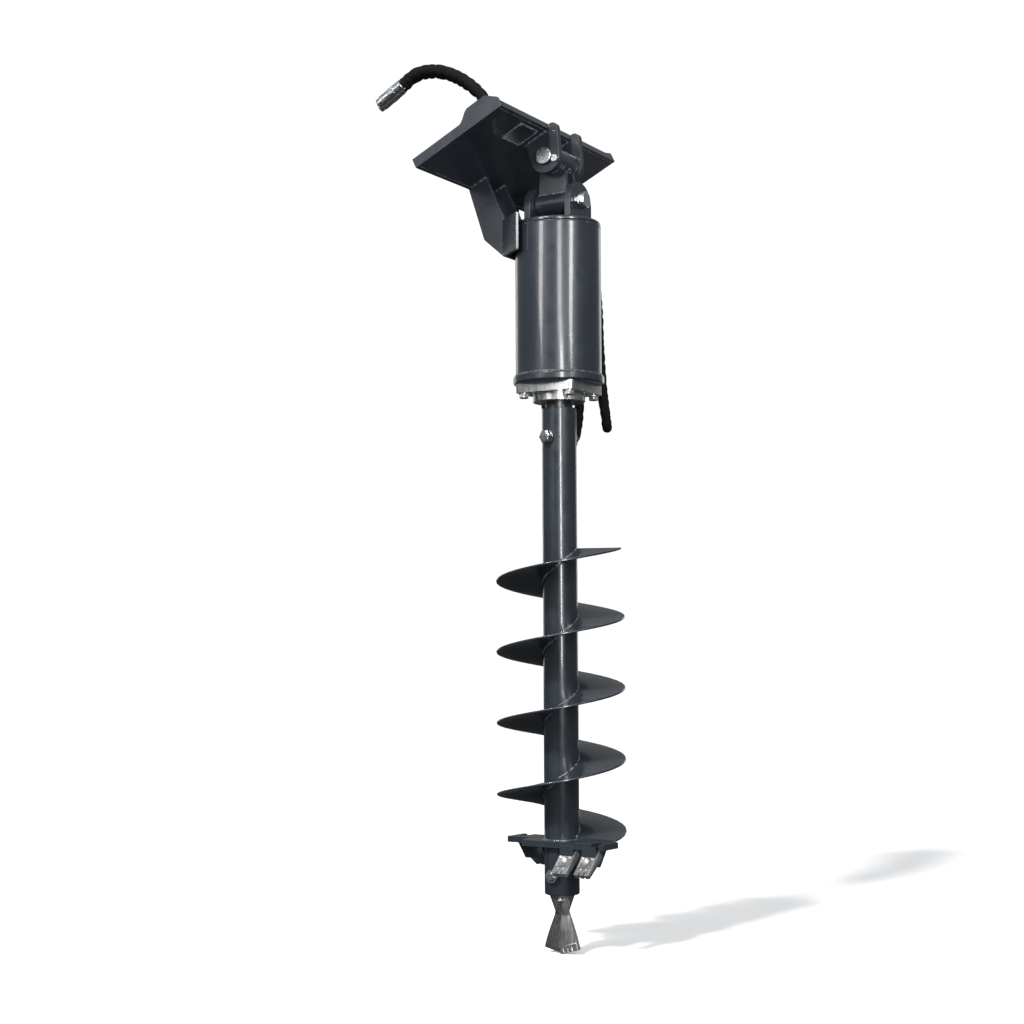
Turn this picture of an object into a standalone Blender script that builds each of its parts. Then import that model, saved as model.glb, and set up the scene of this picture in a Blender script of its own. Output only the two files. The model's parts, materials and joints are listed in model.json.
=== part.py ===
"""Earth auger drive: quick-attach plate with cradle, swing link, planetary drive and flighted auger.

Metres, +Z up. The world origin is the middle of the mount plate's rear face, +X runs along the plate and
the front of the drive looks along -Y. Levels of the drive are counted from its lower pin, downwards.
"""
from math import acos, atan2, ceil, cos, pi, radians, sin, sqrt, tan

import bmesh
import bpy
from mathutils import Matrix, Vector

# Fits
GAP = 0.0003                      # clearance between pieces that touch
OVERRUN = 0.002                   # how far a cutter runs past what it cuts
ROUND_STEPS = 36                  # facets of a large round piece
PIN_STEPS = 24                    # facets of a pin, a tube on a pin and its bores
INNER_STEPS = 24                  # facets of a round piece that the housing hides
BOLT_STEPS = 12                   # facets of a bolt and its hole

# Mount plate
PLATE_TILT = radians(64.2)        # lean of the plate's up direction, from vertical towards the front
PLATE_WIDTH = 0.548
PLATE_HEIGHT = 0.242
PLATE_T = 0.012
LIP_T = 0.008
LIP_RISE_REACH = 0.006            # level stretch of the lip behind the plate's rear face
LIP_SLOPE_DROP = 0.0235
POCKET_WIDTH = 0.014              # hook pocket between plate and lip
POCKET_DEPTH = 0.045              # length of the lip's wall along the plate
LATCH_T = 0.009
LATCH_REACH = 0.030               # how far the latch bar stands behind the plate
LATCH_SHORTER = 0.045             # the reaching part ends this far inside each end of the bar
LATCH_SLOT_LENGTH = 0.060
LATCH_SLOT_WIDTH = 0.014
LATCH_SLOT_OFFSET = 0.165
LATCH_SLOT_BACK = 0.014           # middle of a slot behind the plate's rear face
GUSSET_T = 0.008
GUSSET_BUMP = 0.0235              # how far an end gusset covers the lip's end
GUSSET_BUMP_START_SHARE = 0.55
GUSSET_BUMP_FULL_SHARE = 0.70
GUSSET_BUMP_END_SHARE = 0.89

# Mount ears and upper pin
UPPER_PIN_INSET = 0.0302          # pin axis below the plate's top edge
UPPER_PIN_STANDOFF = 0.0535       # pin axis in front of the plate's front face
EAR_OUTER = 0.063                 # outer face of each ear, from the middle
EAR_T = 0.016
MOUNT_EAR_R = 0.040
MOUNT_EAR_LEAN = radians(5.2)
MOUNT_EAR_ROOT_INSET = 0.063      # lower end of the ear's root below the plate's top edge
MOUNT_EAR_TOP_BACK = 0.001        # rear side of the ear's top, in front of the plate's rear face
MOUNT_EAR_TOP_ROUND = 0.014
UPPER_PIN_R = 0.021
UPPER_PIN_REACH = 0.073
PIN_CHAMFER = 0.002
KEEPER_AF = 0.016
KEEPER_HEAD = 0.007
KEEPER_SHANK_R = 0.005
KEEPER_OFFSET = 0.0302            # keeper bolt from the upper pin's axis
KEEPER_ANGLE = radians(198)

# Swing link
PIN_SPACING = 0.102
LINK_HALF = 0.0463                # half length of both link tubes
UPPER_TUBE_R = 0.031
LOWER_TUBE_R = 0.0315
BUSHING_WALL = 0.005
WEB_INNER = 0.013
WEB_T = 0.012
WEB_TOP_HALF = 0.034
WEB_FOOT_HALF = 0.0375
WEB_TOP_DROP = 0.028
WEB_SHOULDER_DROP = 0.075
WEB_FOOT_DROP = 0.088

# Drive ears and lower pin
DRIVE_EAR_R = 0.054
DRIVE_EAR_CENTRE_DROP = 0.010     # centre of the rounded top below the pin axis
LOWER_PIN_R = 0.020
LOWER_PIN_REACH = 0.080
LOWER_KEEPER_OFFSET = 0.029
LOWER_KEEPER_ANGLE = radians(190)

# Drive housing
HOUSING_DROP = 0.050              # top of the drive below the lower pin's axis
TOP_PLATE_T = 0.012
HOUSING_R = 0.103
HOUSING_WALL = 0.008
HOUSING_LENGTH = 0.3574
RING_R = 0.109
RING_T = 0.020
RING_CHAMFER = 0.003
EDGE_CHAMFER = 0.0015
PORT_ANGLE = radians(35)          # direction of the ports and their window, from +X towards +Y
WINDOW_WIDTH = 0.066
WINDOW_HEIGHT = 0.130

# Gearbox
FLANGE_SIDE = 0.155
FLANGE_T = 0.0223
FLANGE_CORNER_R = 0.010
BOSS_R = 0.0625
BOSS_LENGTH = 0.0203
FLANGE_BOLT_INSET = 0.0165
FLANGE_BOLT_AF = 0.022
FLANGE_BOLT_HEAD = 0.010
FLANGE_BOLT_WASHER_R = 0.0135
FLANGE_BOLT_WASHER_T = 0.0025
FLANGE_BOLT_R = 0.007
FLANGE_BOLT_GRIP = 0.036
CASE_R = 0.076
CASE_HEIGHT = 0.084
BEARING_R = 0.046
BEARING_SEAT = 0.0315             # depth of the bearing seat below the flange's top
SEAL_LIP = 0.004

# Planetary gears
MODULE = 0.0025
SUN_TEETH = 12
PLANET_TEETH = 18
RING_TEETH = SUN_TEETH + 2 * PLANET_TEETH
PRESSURE_ANGLE = radians(25)
ADDENDUM = 0.9 * MODULE
DEDENDUM = 1.15 * MODULE
FLANK_THINNING = 0.00015          # backlash taken off each flank
FLANK_POINTS = 3
PLANETS = 3
GEAR_WIDTH = 0.040
CARRIER_R = 0.054
CARRIER_T = 0.016
PLANET_PIN_R = 0.008
PLANET_PIN_RISE = 0.043
SUN_SHAFT_R = 0.010
SUN_SHAFT_RISE = 0.062

# Motor
ADAPTER_T = 0.016
ADAPTER_BORE_R = 0.014
MOTOR_FLANGE_R = 0.068
MOTOR_FLANGE_T = 0.016
MOTOR_R = 0.052
MOTOR_CLEARANCE = 0.0674          # between the motor's end cover and the housing's top plate
MOTOR_COVER_R = 0.047
MOTOR_COVER_T = 0.022
MOTOR_BORE_DEPTH = 0.050
PORT_DROPS = (0.0176, 0.0726)     # levels of the pressure and return ports below the end cover
FITTING_R = 0.011
FITTING_HEX_AF = 0.027
FITTING_HEX_T = 0.014
FITTING_END = 0.118               # outer end of a port fitting from the drive's axis
FITTING_FERRULE = 0.030

# Output shaft and auger tube
NECK = 0.0139                     # bare shaft between the gearbox boss and the auger tube
SHAFT_R = 0.0325
SHAFT_INSERT = 0.092              # shaft inside the auger tube
TUBE_R = 0.04125
TUBE_WALL = 0.008
TUBE_LENGTH = 1.145
TUBE_END_ROUND = 0.004
HUB_BOLT_DROP = 0.071             # hub bolt below the tube's top
HUB_BOLT_ANGLE = radians(169)
HUB_BOLT_AF = 0.028
HUB_BOLT_HEAD = 0.0125
HUB_BOLT_R = 0.010
WASHER_R = 0.0165
WASHER_T = 0.003
NUT_T = 0.012
THREAD_END = 0.006

# Flight
FLIGHT_R = 0.1525
FLIGHT_PITCH = 0.167
FLIGHT_TURNS = 4.051
FLIGHT_T = 0.006
FLIGHT_RIM_T = 0.0045
FLIGHT_FOOT_ANGLE = radians(-98.5)
FLIGHT_STEPS = 32                 # facets per turn

# Cutting head
HEAD_RISE = 0.1275                # head plate's top above the tube's lower end
HEAD_T = 0.014
HEAD_ANGLE = radians(-93)         # direction of the first arm
HEAD_R = 0.148
HEAD_LEAD = 0.060                 # leading edge in front of the arm's middle line
HEAD_TRAIL = 0.008                # trailing edge of the outer lobe
HEAD_TRAIL_STEP_R = 0.075
HEAD_TRAIL_INNER = 0.057
HEAD_TRAIL_SLANT = 0.010
HEAD_NOTCH_R = 0.115
HEAD_NOTCH_FLOOR = 0.015
HEAD_NOTCH_FLOOR_R = 0.120
HEAD_NOTCH_FLOOR_WIDTH = 0.010
HEAD_NOTCH_WIDTH = 0.021
TOOTH_RADII = (0.049, 0.109)
TOOTH_SLOPE = radians(45)
TOOTH_WIDTH = 0.040
TOOTH_T = 0.022
TOOTH_TIP_T = 0.014
TOOTH_LENGTH = 0.071
TOOTH_SOCKET = 0.016              # length of the tooth inside its holder
TOOTH_DROP = 0.014                # holder's front face below the head plate
TOOTH_BACK = 0.003                # tooth's front face behind the leading edge there
TOOTH_FINGER_CUT = 0.013
TOOTH_FINGER_GAP_SHARE = 0.16
HOLDER_WIDTH = 0.036
HOLDER_HEEL = 0.055               # foot of the holder behind the leading edge
HOLDER_LIP = 0.021                # how far the holder backs the tooth
HOLDER_WALL = 0.010

# Pilot bit
PILOT_REACH = 0.137               # pilot tip below the tube's lower end
PILOT_SHANK_R = 0.030
PILOT_SHANK_OUT = 0.012
PILOT_SHANK_IN = 0.070
PILOT_WAIST_DROP = 0.045
PILOT_WAIST_HALF = 0.0175
PILOT_WAIST_T = 0.030
PILOT_HALF = 0.047                # half width over both blades
PILOT_T = 0.013
PILOT_CORNER_RISE = 0.019         # outer corners above the tip
PILOT_ANGLE = radians(-88)
PILOT_TWIST = radians(80)
PILOT_SQUARED_SHARE = 0.6         # how far the section squares off towards the cutting edge
PILOT_RISE_POWER = 3              # how late the edge's corners start to rise
PILOT_STEPS = 24
PILOT_LEVELS = 9
PILOT_CLAW_SHARES = (0.36, 0.68)  # middles of the cuts between the claws
PILOT_CLAW_DEPTH = 0.010
PILOT_CLAW_HALF = 0.005           # half width of a cut at the blade's edge
PILOT_BOLT_RISE = 0.046           # pilot bolt above the tube's lower end
PILOT_BOLT_R = 0.010
PILOT_BOLT_HEAD = 0.0125
PILOT_BOLT_AF = 0.028

# Cradle
CRADLE_CENTRE_GAP = 0.010         # between the housing and the middle of the pad
CRADLE_WING_GAP = 0.009
CRADLE_WING_ANGLE = radians(50.4)
CRADLE_WING_LENGTH = 0.090
CRADLE_PAD_T = 0.008
CRADLE_PAD_HEIGHT = 0.090
CRADLE_PAD_DROP = 0.035           # pad's upper edge below the lower pin's axis
CRADLE_GUSSET_OUTER = 0.050
CRADLE_GUSSET_T = 0.010
CRADLE_ROOT_TOP = -0.0745         # upper end of the gusset's root on the plate
CRADLE_ROOT_FOOT = -0.129
CRADLE_HEEL_BACK = 0.056          # rear lower corner behind the pad
CRADLE_HEEL_RISE = 0.048
CRADLE_NOSE_RISE = 0.006          # front upper corner above the pad

# Hoses
HOSE_R = 0.0115
HOSE_STUB = 0.012                 # straight length at each end of a hose piece
HOSE_TURN = radians(32)
HOSE_SPACING = 2.4                # longest step in hose diameters
HOSE_APPROACH = 0.032             # straight run of a hose into its port
ROUTE_STEPS = 12                  # curve samples between two points of a route
COUPLER_LENGTH = 0.078
COUPLER_RING_R = 0.0132           # half across the coupler's flats and its release ring
COUPLER_FERRULE_SHARE = 0.32      # shares of the coupler's length, from its hose end
COUPLER_HEX_SHARE = 0.50
COUPLER_RING_SHARES = (0.70, 0.86)
COUPLER_DIRECTION = (0, 0.87, -0.49)
HOSES = (
    {
        "mount": (
            (-0.200, 0.206, 0.171), (-0.200, 0.169, 0.192), (-0.200, 0.120, 0.1935),
            (-0.200, 0.069, 0.1776), (-0.200, 0.013, 0.1417), (-0.199, -0.026, 0.100),
            (-0.190, -0.034, 0.0715), (-0.160, -0.012, 0.052), (-0.100, 0.0228, 0.0356),
            (0.000, 0.060, 0.020), (0.100, 0.0965, 0.0045), (0.170, 0.129, -0.0045),
            (0.206, 0.154, -0.030), (0.226, 0.156, -0.068), (0.238, 0.130, -0.101),
            (0.241, 0.093, -0.114), (0.229, 0.053, -0.1155), (0.205, 0.0347, -0.1155),
            (0.195, 0.0347, -0.1155)),
        "link": (
            (0.195, 0.0347, -0.1155), (0.183, 0.0347, -0.1155), (0.158, 0.020, -0.1155),
            (0.150, 0.0017, -0.1155), (0.150, -0.0103, -0.1155)),
        "drive": (
            (0.150, -0.0103, -0.1155), (0.1505, -0.026, -0.1165), (0.153, -0.058, -0.131),
            (0.151, -0.092, -0.168), (0.141, -0.120, -0.222), (0.130, -0.142, -0.292),
            (0.124, -0.152, -0.362), (0.124, -0.156, -0.462), (0.130, -0.159, -0.552),
            (0.140, -0.161, -0.610), (0.152, -0.158, -0.641), (0.170, -0.151, -0.653),
            (0.187, -0.142, -0.641), (0.197, -0.131, -0.606), (0.203, -0.110, -0.520),
            (0.203, -0.070, -0.420), (0.190, -0.030, -0.340), (0.162, -0.010, -0.300)),
    },
    {
        "mount": (
            (-0.172, 0.2215, 0.171), (-0.172, 0.1845, 0.192), (-0.172, 0.1355, 0.1935),
            (-0.172, 0.0845, 0.1776), (-0.172, 0.0285, 0.1417), (-0.171, -0.0105, 0.104),
            (-0.160, -0.026, 0.080), (-0.130, -0.022, 0.062), (-0.080, 0.000, 0.0475),
            (0.010, 0.036, 0.032), (0.110, 0.072, 0.0165), (0.190, 0.106, 0.006),
            (0.229, 0.134, -0.009), (0.246, 0.155, -0.033), (0.258, 0.158, -0.070),
            (0.265, 0.138, -0.112), (0.264, 0.098, -0.141), (0.248, 0.058, -0.1475),
            (0.224, 0.0385, -0.1475), (0.205, 0.0347, -0.1475), (0.195, 0.0347, -0.1475)),
        "link": (
            (0.195, 0.0347, -0.1475), (0.183, 0.0347, -0.1475), (0.158, 0.020, -0.1475),
            (0.150, 0.0017, -0.1475), (0.150, -0.0103, -0.1475)),
        "drive": (
            (0.150, -0.0103, -0.1475), (0.151, -0.024, -0.149), (0.154, -0.044, -0.166),
            (0.158, -0.060, -0.205), (0.159, -0.069, -0.270), (0.158, -0.075, -0.400),
            (0.157, -0.080, -0.540), (0.155, -0.080, -0.620), (0.151, -0.070, -0.675),
            (0.143, -0.054, -0.703), (0.133, -0.035, -0.703), (0.125, -0.018, -0.675),
            (0.121, -0.008, -0.610), (0.123, -0.002, -0.500), (0.131, -0.001, -0.410),
            (0.138, -0.006, -0.366)),
    },
)

# Stations that follow from the sizes above
PLATE_BACK_TO_PIN = PLATE_T + UPPER_PIN_STANDOFF
UPPER_PIN_UP = PLATE_HEIGHT / 2 - UPPER_PIN_INSET
UPPER_PIN_Y = -PLATE_BACK_TO_PIN * cos(PLATE_TILT) - UPPER_PIN_UP * sin(PLATE_TILT)
UPPER_PIN_Z = -PLATE_BACK_TO_PIN * sin(PLATE_TILT) + UPPER_PIN_UP * cos(PLATE_TILT)
HOUSING_TOP = -HOUSING_DROP - TOP_PLATE_T - GAP
HOUSING_FOOT = HOUSING_TOP - HOUSING_LENGTH
RING_FOOT = HOUSING_FOOT - GAP - RING_T
FLANGE_TOP = RING_FOOT - GAP
FLANGE_FOOT = FLANGE_TOP - FLANGE_T
CASE_TOP = FLANGE_TOP + GAP + CASE_HEIGHT
MOTOR_FOOT = CASE_TOP + GAP + ADAPTER_T + GAP
MOTOR_COVER_FOOT = -HOUSING_DROP - TOP_PLATE_T - MOTOR_CLEARANCE - MOTOR_COVER_T
WINDOW_LEVEL = MOTOR_COVER_FOOT - sum(PORT_DROPS) / 2
BOSS_FOOT = FLANGE_FOOT - BOSS_LENGTH
TUBE_TOP = BOSS_FOOT - NECK
TUBE_FOOT = -TUBE_LENGTH                       # in the auger's frame, whose zero is the tube's top
CARRIER_TOP = FLANGE_TOP - TUBE_TOP + 2 * CARRIER_T
HEAD_TOP = TUBE_FOOT + HEAD_RISE
CENTRE_DISTANCE = MODULE * (SUN_TEETH + PLANET_TEETH) / 2
TUBE_BORE_R = TUBE_R - TUBE_WALL

# Turns that lay an outline drawn in XY and raised along Z
ALONG_X = (pi / 2, 0, pi / 2)                  # outline in YZ, raised along +X
ALONG_Y = (pi / 2, 0, 0)                       # outline in XZ, raised along -Y
SPIN_X = (0, pi / 2, 0)                        # turned piece laid along X
SPIN_Y = (-pi / 2, 0, 0)                       # turned piece laid along Y
TOWARD_PORTS = (pi / 2, 0, pi / 2 + PORT_ANGLE)  # raised outwards along the ports' direction


def clear_scene():
    for item in list(bpy.data.objects):
        bpy.data.objects.remove(item, do_unlink=True)


def material(name, colour, roughness, metallic):
    made = bpy.data.materials.new(name)
    made.use_nodes = True
    shader = made.node_tree.nodes["Principled BSDF"]
    shader.inputs["Base Color"].default_value = (*colour, 1)
    shader.inputs["Roughness"].default_value = roughness
    shader.inputs["Metallic"].default_value = metallic
    return made


def make_materials():
    return {
        "paint": material("charcoal_paint", (0.055, 0.066, 0.082), 0.38, 0.0),
        "machined": material("machined_steel", (0.56, 0.57, 0.58), 0.32, 1.0),
        "zinc": material("zinc_plate", (0.74, 0.76, 0.78), 0.28, 1.0),
        "forged": material("forged_steel", (0.33, 0.34, 0.35), 0.45, 1.0),
        "cast": material("cast_iron", (0.12, 0.125, 0.13), 0.6, 0.6),
        "gear": material("gear_steel", (0.42, 0.43, 0.45), 0.3, 1.0),
        "bronze": material("bearing_bronze", (0.55, 0.38, 0.16), 0.4, 1.0),
        "rubber": material("black_sleeve", (0.012, 0.012, 0.013), 0.85, 0.0),
    }


def empty(name, parent=None, location=(0, 0, 0), rotation=(0, 0, 0)):
    made = bpy.data.objects.new(name, None)
    bpy.context.scene.collection.objects.link(made)
    made.parent = parent
    made.location = location
    made.rotation_euler = rotation
    return made


def place(name, mesh, look, parent, location=(0, 0, 0), rotation=(0, 0, 0), smooth=True):
    made = bpy.data.objects.new(name, mesh)
    bpy.context.scene.collection.objects.link(made)
    made.parent = parent
    made.location = location
    made.rotation_euler = rotation
    if look is not None:
        mesh.materials.clear()
        mesh.materials.append(look)
    if smooth:
        mesh.shade_smooth()
        mesh.set_sharp_from_angle(angle=radians(35))
    return made


def guide(name, mesh, parent, location=(0, 0, 0), rotation=(0, 0, 0)):
    """A cutter: kept in the file, out of every render."""
    made = place(name, mesh, None, parent, location, rotation, smooth=False)
    made.hide_render = True
    made.display_type = "WIRE"
    return made


def combine(target, tool, operation="DIFFERENCE"):
    step = target.modifiers.new(tool.name, "BOOLEAN")
    step.operation = operation
    step.solver = "EXACT"
    step.object = tool


def finished(bm, name):
    bmesh.ops.recalc_face_normals(bm, faces=bm.faces)
    mesh = bpy.data.meshes.new(name)
    bm.to_mesh(mesh)
    bm.free()
    return mesh


def circle(radius, steps, centre=(0, 0), start=0.0, sweep=2 * pi, close=False):
    count = steps + 1 if close else steps
    angles = [start + sweep * i / steps for i in range(count)]
    return [(centre[0] + radius * cos(angle), centre[1] + radius * sin(angle)) for angle in angles]


def bore(radius, steps):
    """Radius of a faceted hole whose flats clear a round piece."""
    return (radius + GAP) / cos(pi / steps)


def rounded_box(width, height, corner, steps=4):
    points = []
    for k, (sx, sy) in enumerate(((1, 1), (-1, 1), (-1, -1), (1, -1))):
        centre = (sx * (width / 2 - corner), sy * (height / 2 - corner))
        points += circle(corner, steps, centre, k * pi / 2, pi / 2, close=True)
    return points


def prism(name, outline, depth, holes=(), taper=1.0):
    """Solid with the outline in XY, raised along Z from 0 to depth; taper shrinks the far face."""
    bm = bmesh.new()
    edges = []
    for loop in (outline, *holes):
        verts = [bm.verts.new((x, y, 0)) for x, y in loop]
        edges += [bm.edges.new(pair) for pair in zip(verts, verts[1:] + verts[:1])]
    bmesh.ops.triangle_fill(bm, edges=edges, use_beauty=True, normal=(0, 0, 1))
    raised = bmesh.ops.extrude_face_region(bm, geom=bm.faces[:])
    top = [v for v in raised["geom"] if isinstance(v, bmesh.types.BMVert)]
    bmesh.ops.translate(bm, verts=top, vec=(0, 0, depth))
    if taper != 1.0:
        bmesh.ops.scale(bm, verts=top, vec=(taper, taper, 1))
    return finished(bm, name)


def loft(name, rings):
    """Closed skin through rings of points; a ring of one point is a pole, a loop has none."""
    bm = bmesh.new()
    rows = [[bm.verts.new(point) for point in ring] for ring in rings]
    pairs = list(zip(rows, rows[1:]))
    if len(rows[0]) > 1:
        pairs.append((rows[-1], rows[0]))
    for low, high in pairs:
        count = max(len(low), len(high))
        for i in range(count):
            j = (i + 1) % count
            corners = [low[i % len(low)], low[j % len(low)], high[j % len(high)], high[i % len(high)]]
            bm.faces.new(list(dict.fromkeys(corners)))
    return finished(bm, name)


def ring_points(radius, z, steps, flats=0):
    """Ring at height z; with flats given, radius is half the distance across them."""
    if radius == 0:
        return [(0, 0, z)]
    points = []
    for i in range(steps):
        angle = 2 * pi * i / steps
        reach = radius
        if flats:
            reach = radius / cos((angle + pi / flats) % (2 * pi / flats) - pi / flats)
        points.append((reach * cos(angle), reach * sin(angle), z))
    return points


def turned(name, profile, steps=ROUND_STEPS):
    """Profile of (radius, z) or (half across flats, z, flats), from pole to pole or as a closed loop."""
    return loft(name, [ring_points(entry[0], entry[1], steps, *entry[2:]) for entry in profile])


def bar_profile(radius, low, high, chamfer):
    return [(0, low), (radius - chamfer, low), (radius, low + chamfer), (radius, high - chamfer),
            (radius - chamfer, high), (0, high)]


def sleeve_profile(outer, inner, low, high, chamfer):
    return [(inner, low), (outer - chamfer, low), (outer, low + chamfer), (outer, high - chamfer),
            (outer - chamfer, high), (inner, high)]


def plain_bar(radius, reach):
    return [(0, -reach), (radius, -reach), (radius, reach), (0, reach)]


def pin_mesh(name, radius, reach):
    return turned(name, bar_profile(radius, -reach, reach, PIN_CHAMFER), PIN_STEPS)


# Mount plate, lip, latch bar and end gussets, drawn in the plate's frame: y to the rear, z up the plate
def mount_plate(looks, plate):
    outline = [(-PLATE_T, -PLATE_HEIGHT / 2), (0, -PLATE_HEIGHT / 2), (0, PLATE_HEIGHT / 2),
               (-PLATE_T, PLATE_HEIGHT / 2)]
    place("mount_plate", prism("mount_plate", outline, PLATE_WIDTH), looks["paint"], plate,
          (-PLATE_WIDTH / 2, 0, 0), ALONG_X)


LIP_FOOT = PLATE_HEIGHT / 2 + GAP
LIP_TOP = LIP_FOOT + LIP_T
LATCH_TOP = -PLATE_HEIGHT / 2 - GAP
LATCH_FOOT = LATCH_TOP - LATCH_T


def hook_lip(looks, plate):
    wall_top = LIP_TOP - LIP_SLOPE_DROP
    wall_foot = wall_top - POCKET_DEPTH
    outline = [(-PLATE_T, LIP_FOOT), (LIP_RISE_REACH / 2, LIP_FOOT), (POCKET_WIDTH, wall_top - LIP_T / 4),
               (POCKET_WIDTH, wall_foot), (POCKET_WIDTH + LIP_T, wall_foot), (POCKET_WIDTH + LIP_T, wall_top),
               (LIP_RISE_REACH, LIP_TOP), (-PLATE_T, LIP_TOP)]
    place("hook_lip", prism("hook_lip", outline, PLATE_WIDTH), looks["paint"], plate,
          (-PLATE_WIDTH / 2, 0, 0), ALONG_X)


def latch_bar(looks, plate):
    half = PLATE_WIDTH / 2
    shorter = half - LATCH_SHORTER
    outline = [(-half, -PLATE_T), (half, -PLATE_T), (half, 0), (shorter + LATCH_REACH, 0),
               (shorter, LATCH_REACH), (-shorter, LATCH_REACH), (-shorter - LATCH_REACH, 0), (-half, 0)]
    slots = []
    for side in (-1, 1):
        slot = rounded_box(LATCH_SLOT_LENGTH, LATCH_SLOT_WIDTH, LATCH_SLOT_WIDTH / 3)
        slots.append([(x + side * LATCH_SLOT_OFFSET, y + LATCH_SLOT_BACK) for x, y in slot])
    place("latch_bar", prism("latch_bar", outline, LATCH_T, slots), looks["paint"], plate, (0, 0, LATCH_FOOT))


def end_gussets(looks, plate):
    height = LIP_TOP - LATCH_FOOT
    start = LATCH_FOOT + GUSSET_BUMP_START_SHARE * height
    full = LATCH_FOOT + GUSSET_BUMP_FULL_SHARE * height
    end = LATCH_FOOT + GUSSET_BUMP_END_SHARE * height
    sweep = [(GUSSET_BUMP * sin(pi / 2 * i / 6) ** 2, start + (full - start) * i / 6) for i in range(7)]
    outline = [(-PLATE_T, LATCH_FOOT), (0, LATCH_FOOT), *sweep, (GUSSET_BUMP, end), (0, LIP_TOP),
               (-PLATE_T, LIP_TOP)]
    for name, x in (("left", -PLATE_WIDTH / 2 - GAP - GUSSET_T), ("right", PLATE_WIDTH / 2 + GAP)):
        mesh = prism("end_gusset", outline, GUSSET_T)
        place("end_gusset_" + name, mesh, looks["paint"], plate, (x, 0, 0), ALONG_X)


def mount_ear_outline():
    """Ear in the plate's frame: root on the plate, round nose about the pin, top past the lip."""
    pin = Vector((-PLATE_BACK_TO_PIN, UPPER_PIN_UP))
    root = Vector((-PLATE_T - GAP, PLATE_HEIGHT / 2 - MOUNT_EAR_ROOT_INSET))
    edge = pi / 2 - MOUNT_EAR_LEAN - PLATE_TILT
    toward = root - pin
    low = atan2(toward.y, toward.x) - acos(MOUNT_EAR_R / toward.length)
    high = edge + pi / 2
    nose = circle(MOUNT_EAR_R, 20, pin, low + 2 * pi, high - low - 2 * pi, close=True)
    side = -MOUNT_EAR_TOP_BACK
    touch = Vector(nose[-1])
    peak = Vector((side, touch.y + (side - touch.x) * tan(edge)))
    centre = Vector((side - MOUNT_EAR_TOP_ROUND, peak.y - MOUNT_EAR_TOP_ROUND * tan(pi / 4 + edge / 2)))
    round_top = circle(MOUNT_EAR_TOP_ROUND, 6, centre, high, -high, close=True)
    return [tuple(root), *nose, *round_top, (side, LIP_TOP + GAP), (-PLATE_T - GAP, LIP_TOP + GAP)], pin


def keeper_mesh(name):
    """Keeper bolt along +Z: hex head outside the ear, shank into it."""
    head = KEEPER_AF / 2
    return turned(name, [(0, -EAR_T + OVERRUN), (KEEPER_SHANK_R, -EAR_T + OVERRUN), (KEEPER_SHANK_R, GAP),
                         (head, GAP, 6), (head, GAP + KEEPER_HEAD, 6), (0, GAP + KEEPER_HEAD)], BOLT_STEPS)


def mount_ears(looks, plate):
    outline, pin = mount_ear_outline()
    hole = circle(bore(UPPER_PIN_R, PIN_STEPS), PIN_STEPS, pin)
    keeper_y = pin.x + KEEPER_OFFSET * cos(KEEPER_ANGLE - PLATE_TILT)
    keeper_z = pin.y + KEEPER_OFFSET * sin(KEEPER_ANGLE - PLATE_TILT)
    keeper_hole = circle(bore(KEEPER_SHANK_R, BOLT_STEPS), BOLT_STEPS, (keeper_y, keeper_z))
    place("mount_ear_left", prism("mount_ear_left", outline, EAR_T, [hole, keeper_hole]), looks["paint"],
          plate, (-EAR_OUTER, 0, 0), ALONG_X)
    place("mount_ear_right", prism("mount_ear_right", outline, EAR_T, [hole]), looks["paint"], plate,
          (EAR_OUTER - EAR_T, 0, 0), ALONG_X)
    place("upper_pin", pin_mesh("upper_pin", UPPER_PIN_R, UPPER_PIN_REACH), looks["zinc"], plate,
          (0, pin.x, pin.y), SPIN_X)
    place("upper_pin_keeper", keeper_mesh("upper_pin_keeper"), looks["zinc"], plate,
          (-EAR_OUTER, keeper_y, keeper_z), (0, -pi / 2, 0))


# Cradle under the plate, drawn upright because the housing hangs upright in it
def from_plate(back, up):
    """World (y, z) of a place given behind the plate's rear face and up the plate."""
    return (back * cos(PLATE_TILT) - up * sin(PLATE_TILT), back * sin(PLATE_TILT) + up * cos(PLATE_TILT))


PAD_TOP = UPPER_PIN_Z - PIN_SPACING - CRADLE_PAD_DROP
PAD_FOOT = PAD_TOP - CRADLE_PAD_HEIGHT


def pad_corner(offset):
    """Corner between the pad's middle and its wing, on the surface this far outside the housing-side face."""
    flat = HOUSING_R + CRADLE_CENTRE_GAP + offset
    wing = HOUSING_R + CRADLE_WING_GAP + offset
    return (wing - flat * cos(CRADLE_WING_ANGLE)) / sin(CRADLE_WING_ANGLE), flat


def cradle_pad(looks, mount):
    inner = pad_corner(0)
    outer = pad_corner(CRADLE_PAD_T)
    along = (cos(CRADLE_WING_ANGLE), -sin(CRADLE_WING_ANGLE))
    reach = CRADLE_WING_LENGTH
    tip_out = (outer[0] + reach * along[0], outer[1] + reach * along[1])
    tip_in = (tip_out[0] + CRADLE_PAD_T * along[1], tip_out[1] - CRADLE_PAD_T * along[0])
    half = [inner, tip_in, tip_out, outer]
    outline = half + [(-x, y) for x, y in reversed(half)]
    place("cradle_pad", prism("cradle_pad", outline, CRADLE_PAD_HEIGHT), looks["paint"], mount,
          (0, UPPER_PIN_Y, PAD_FOOT))


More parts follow.
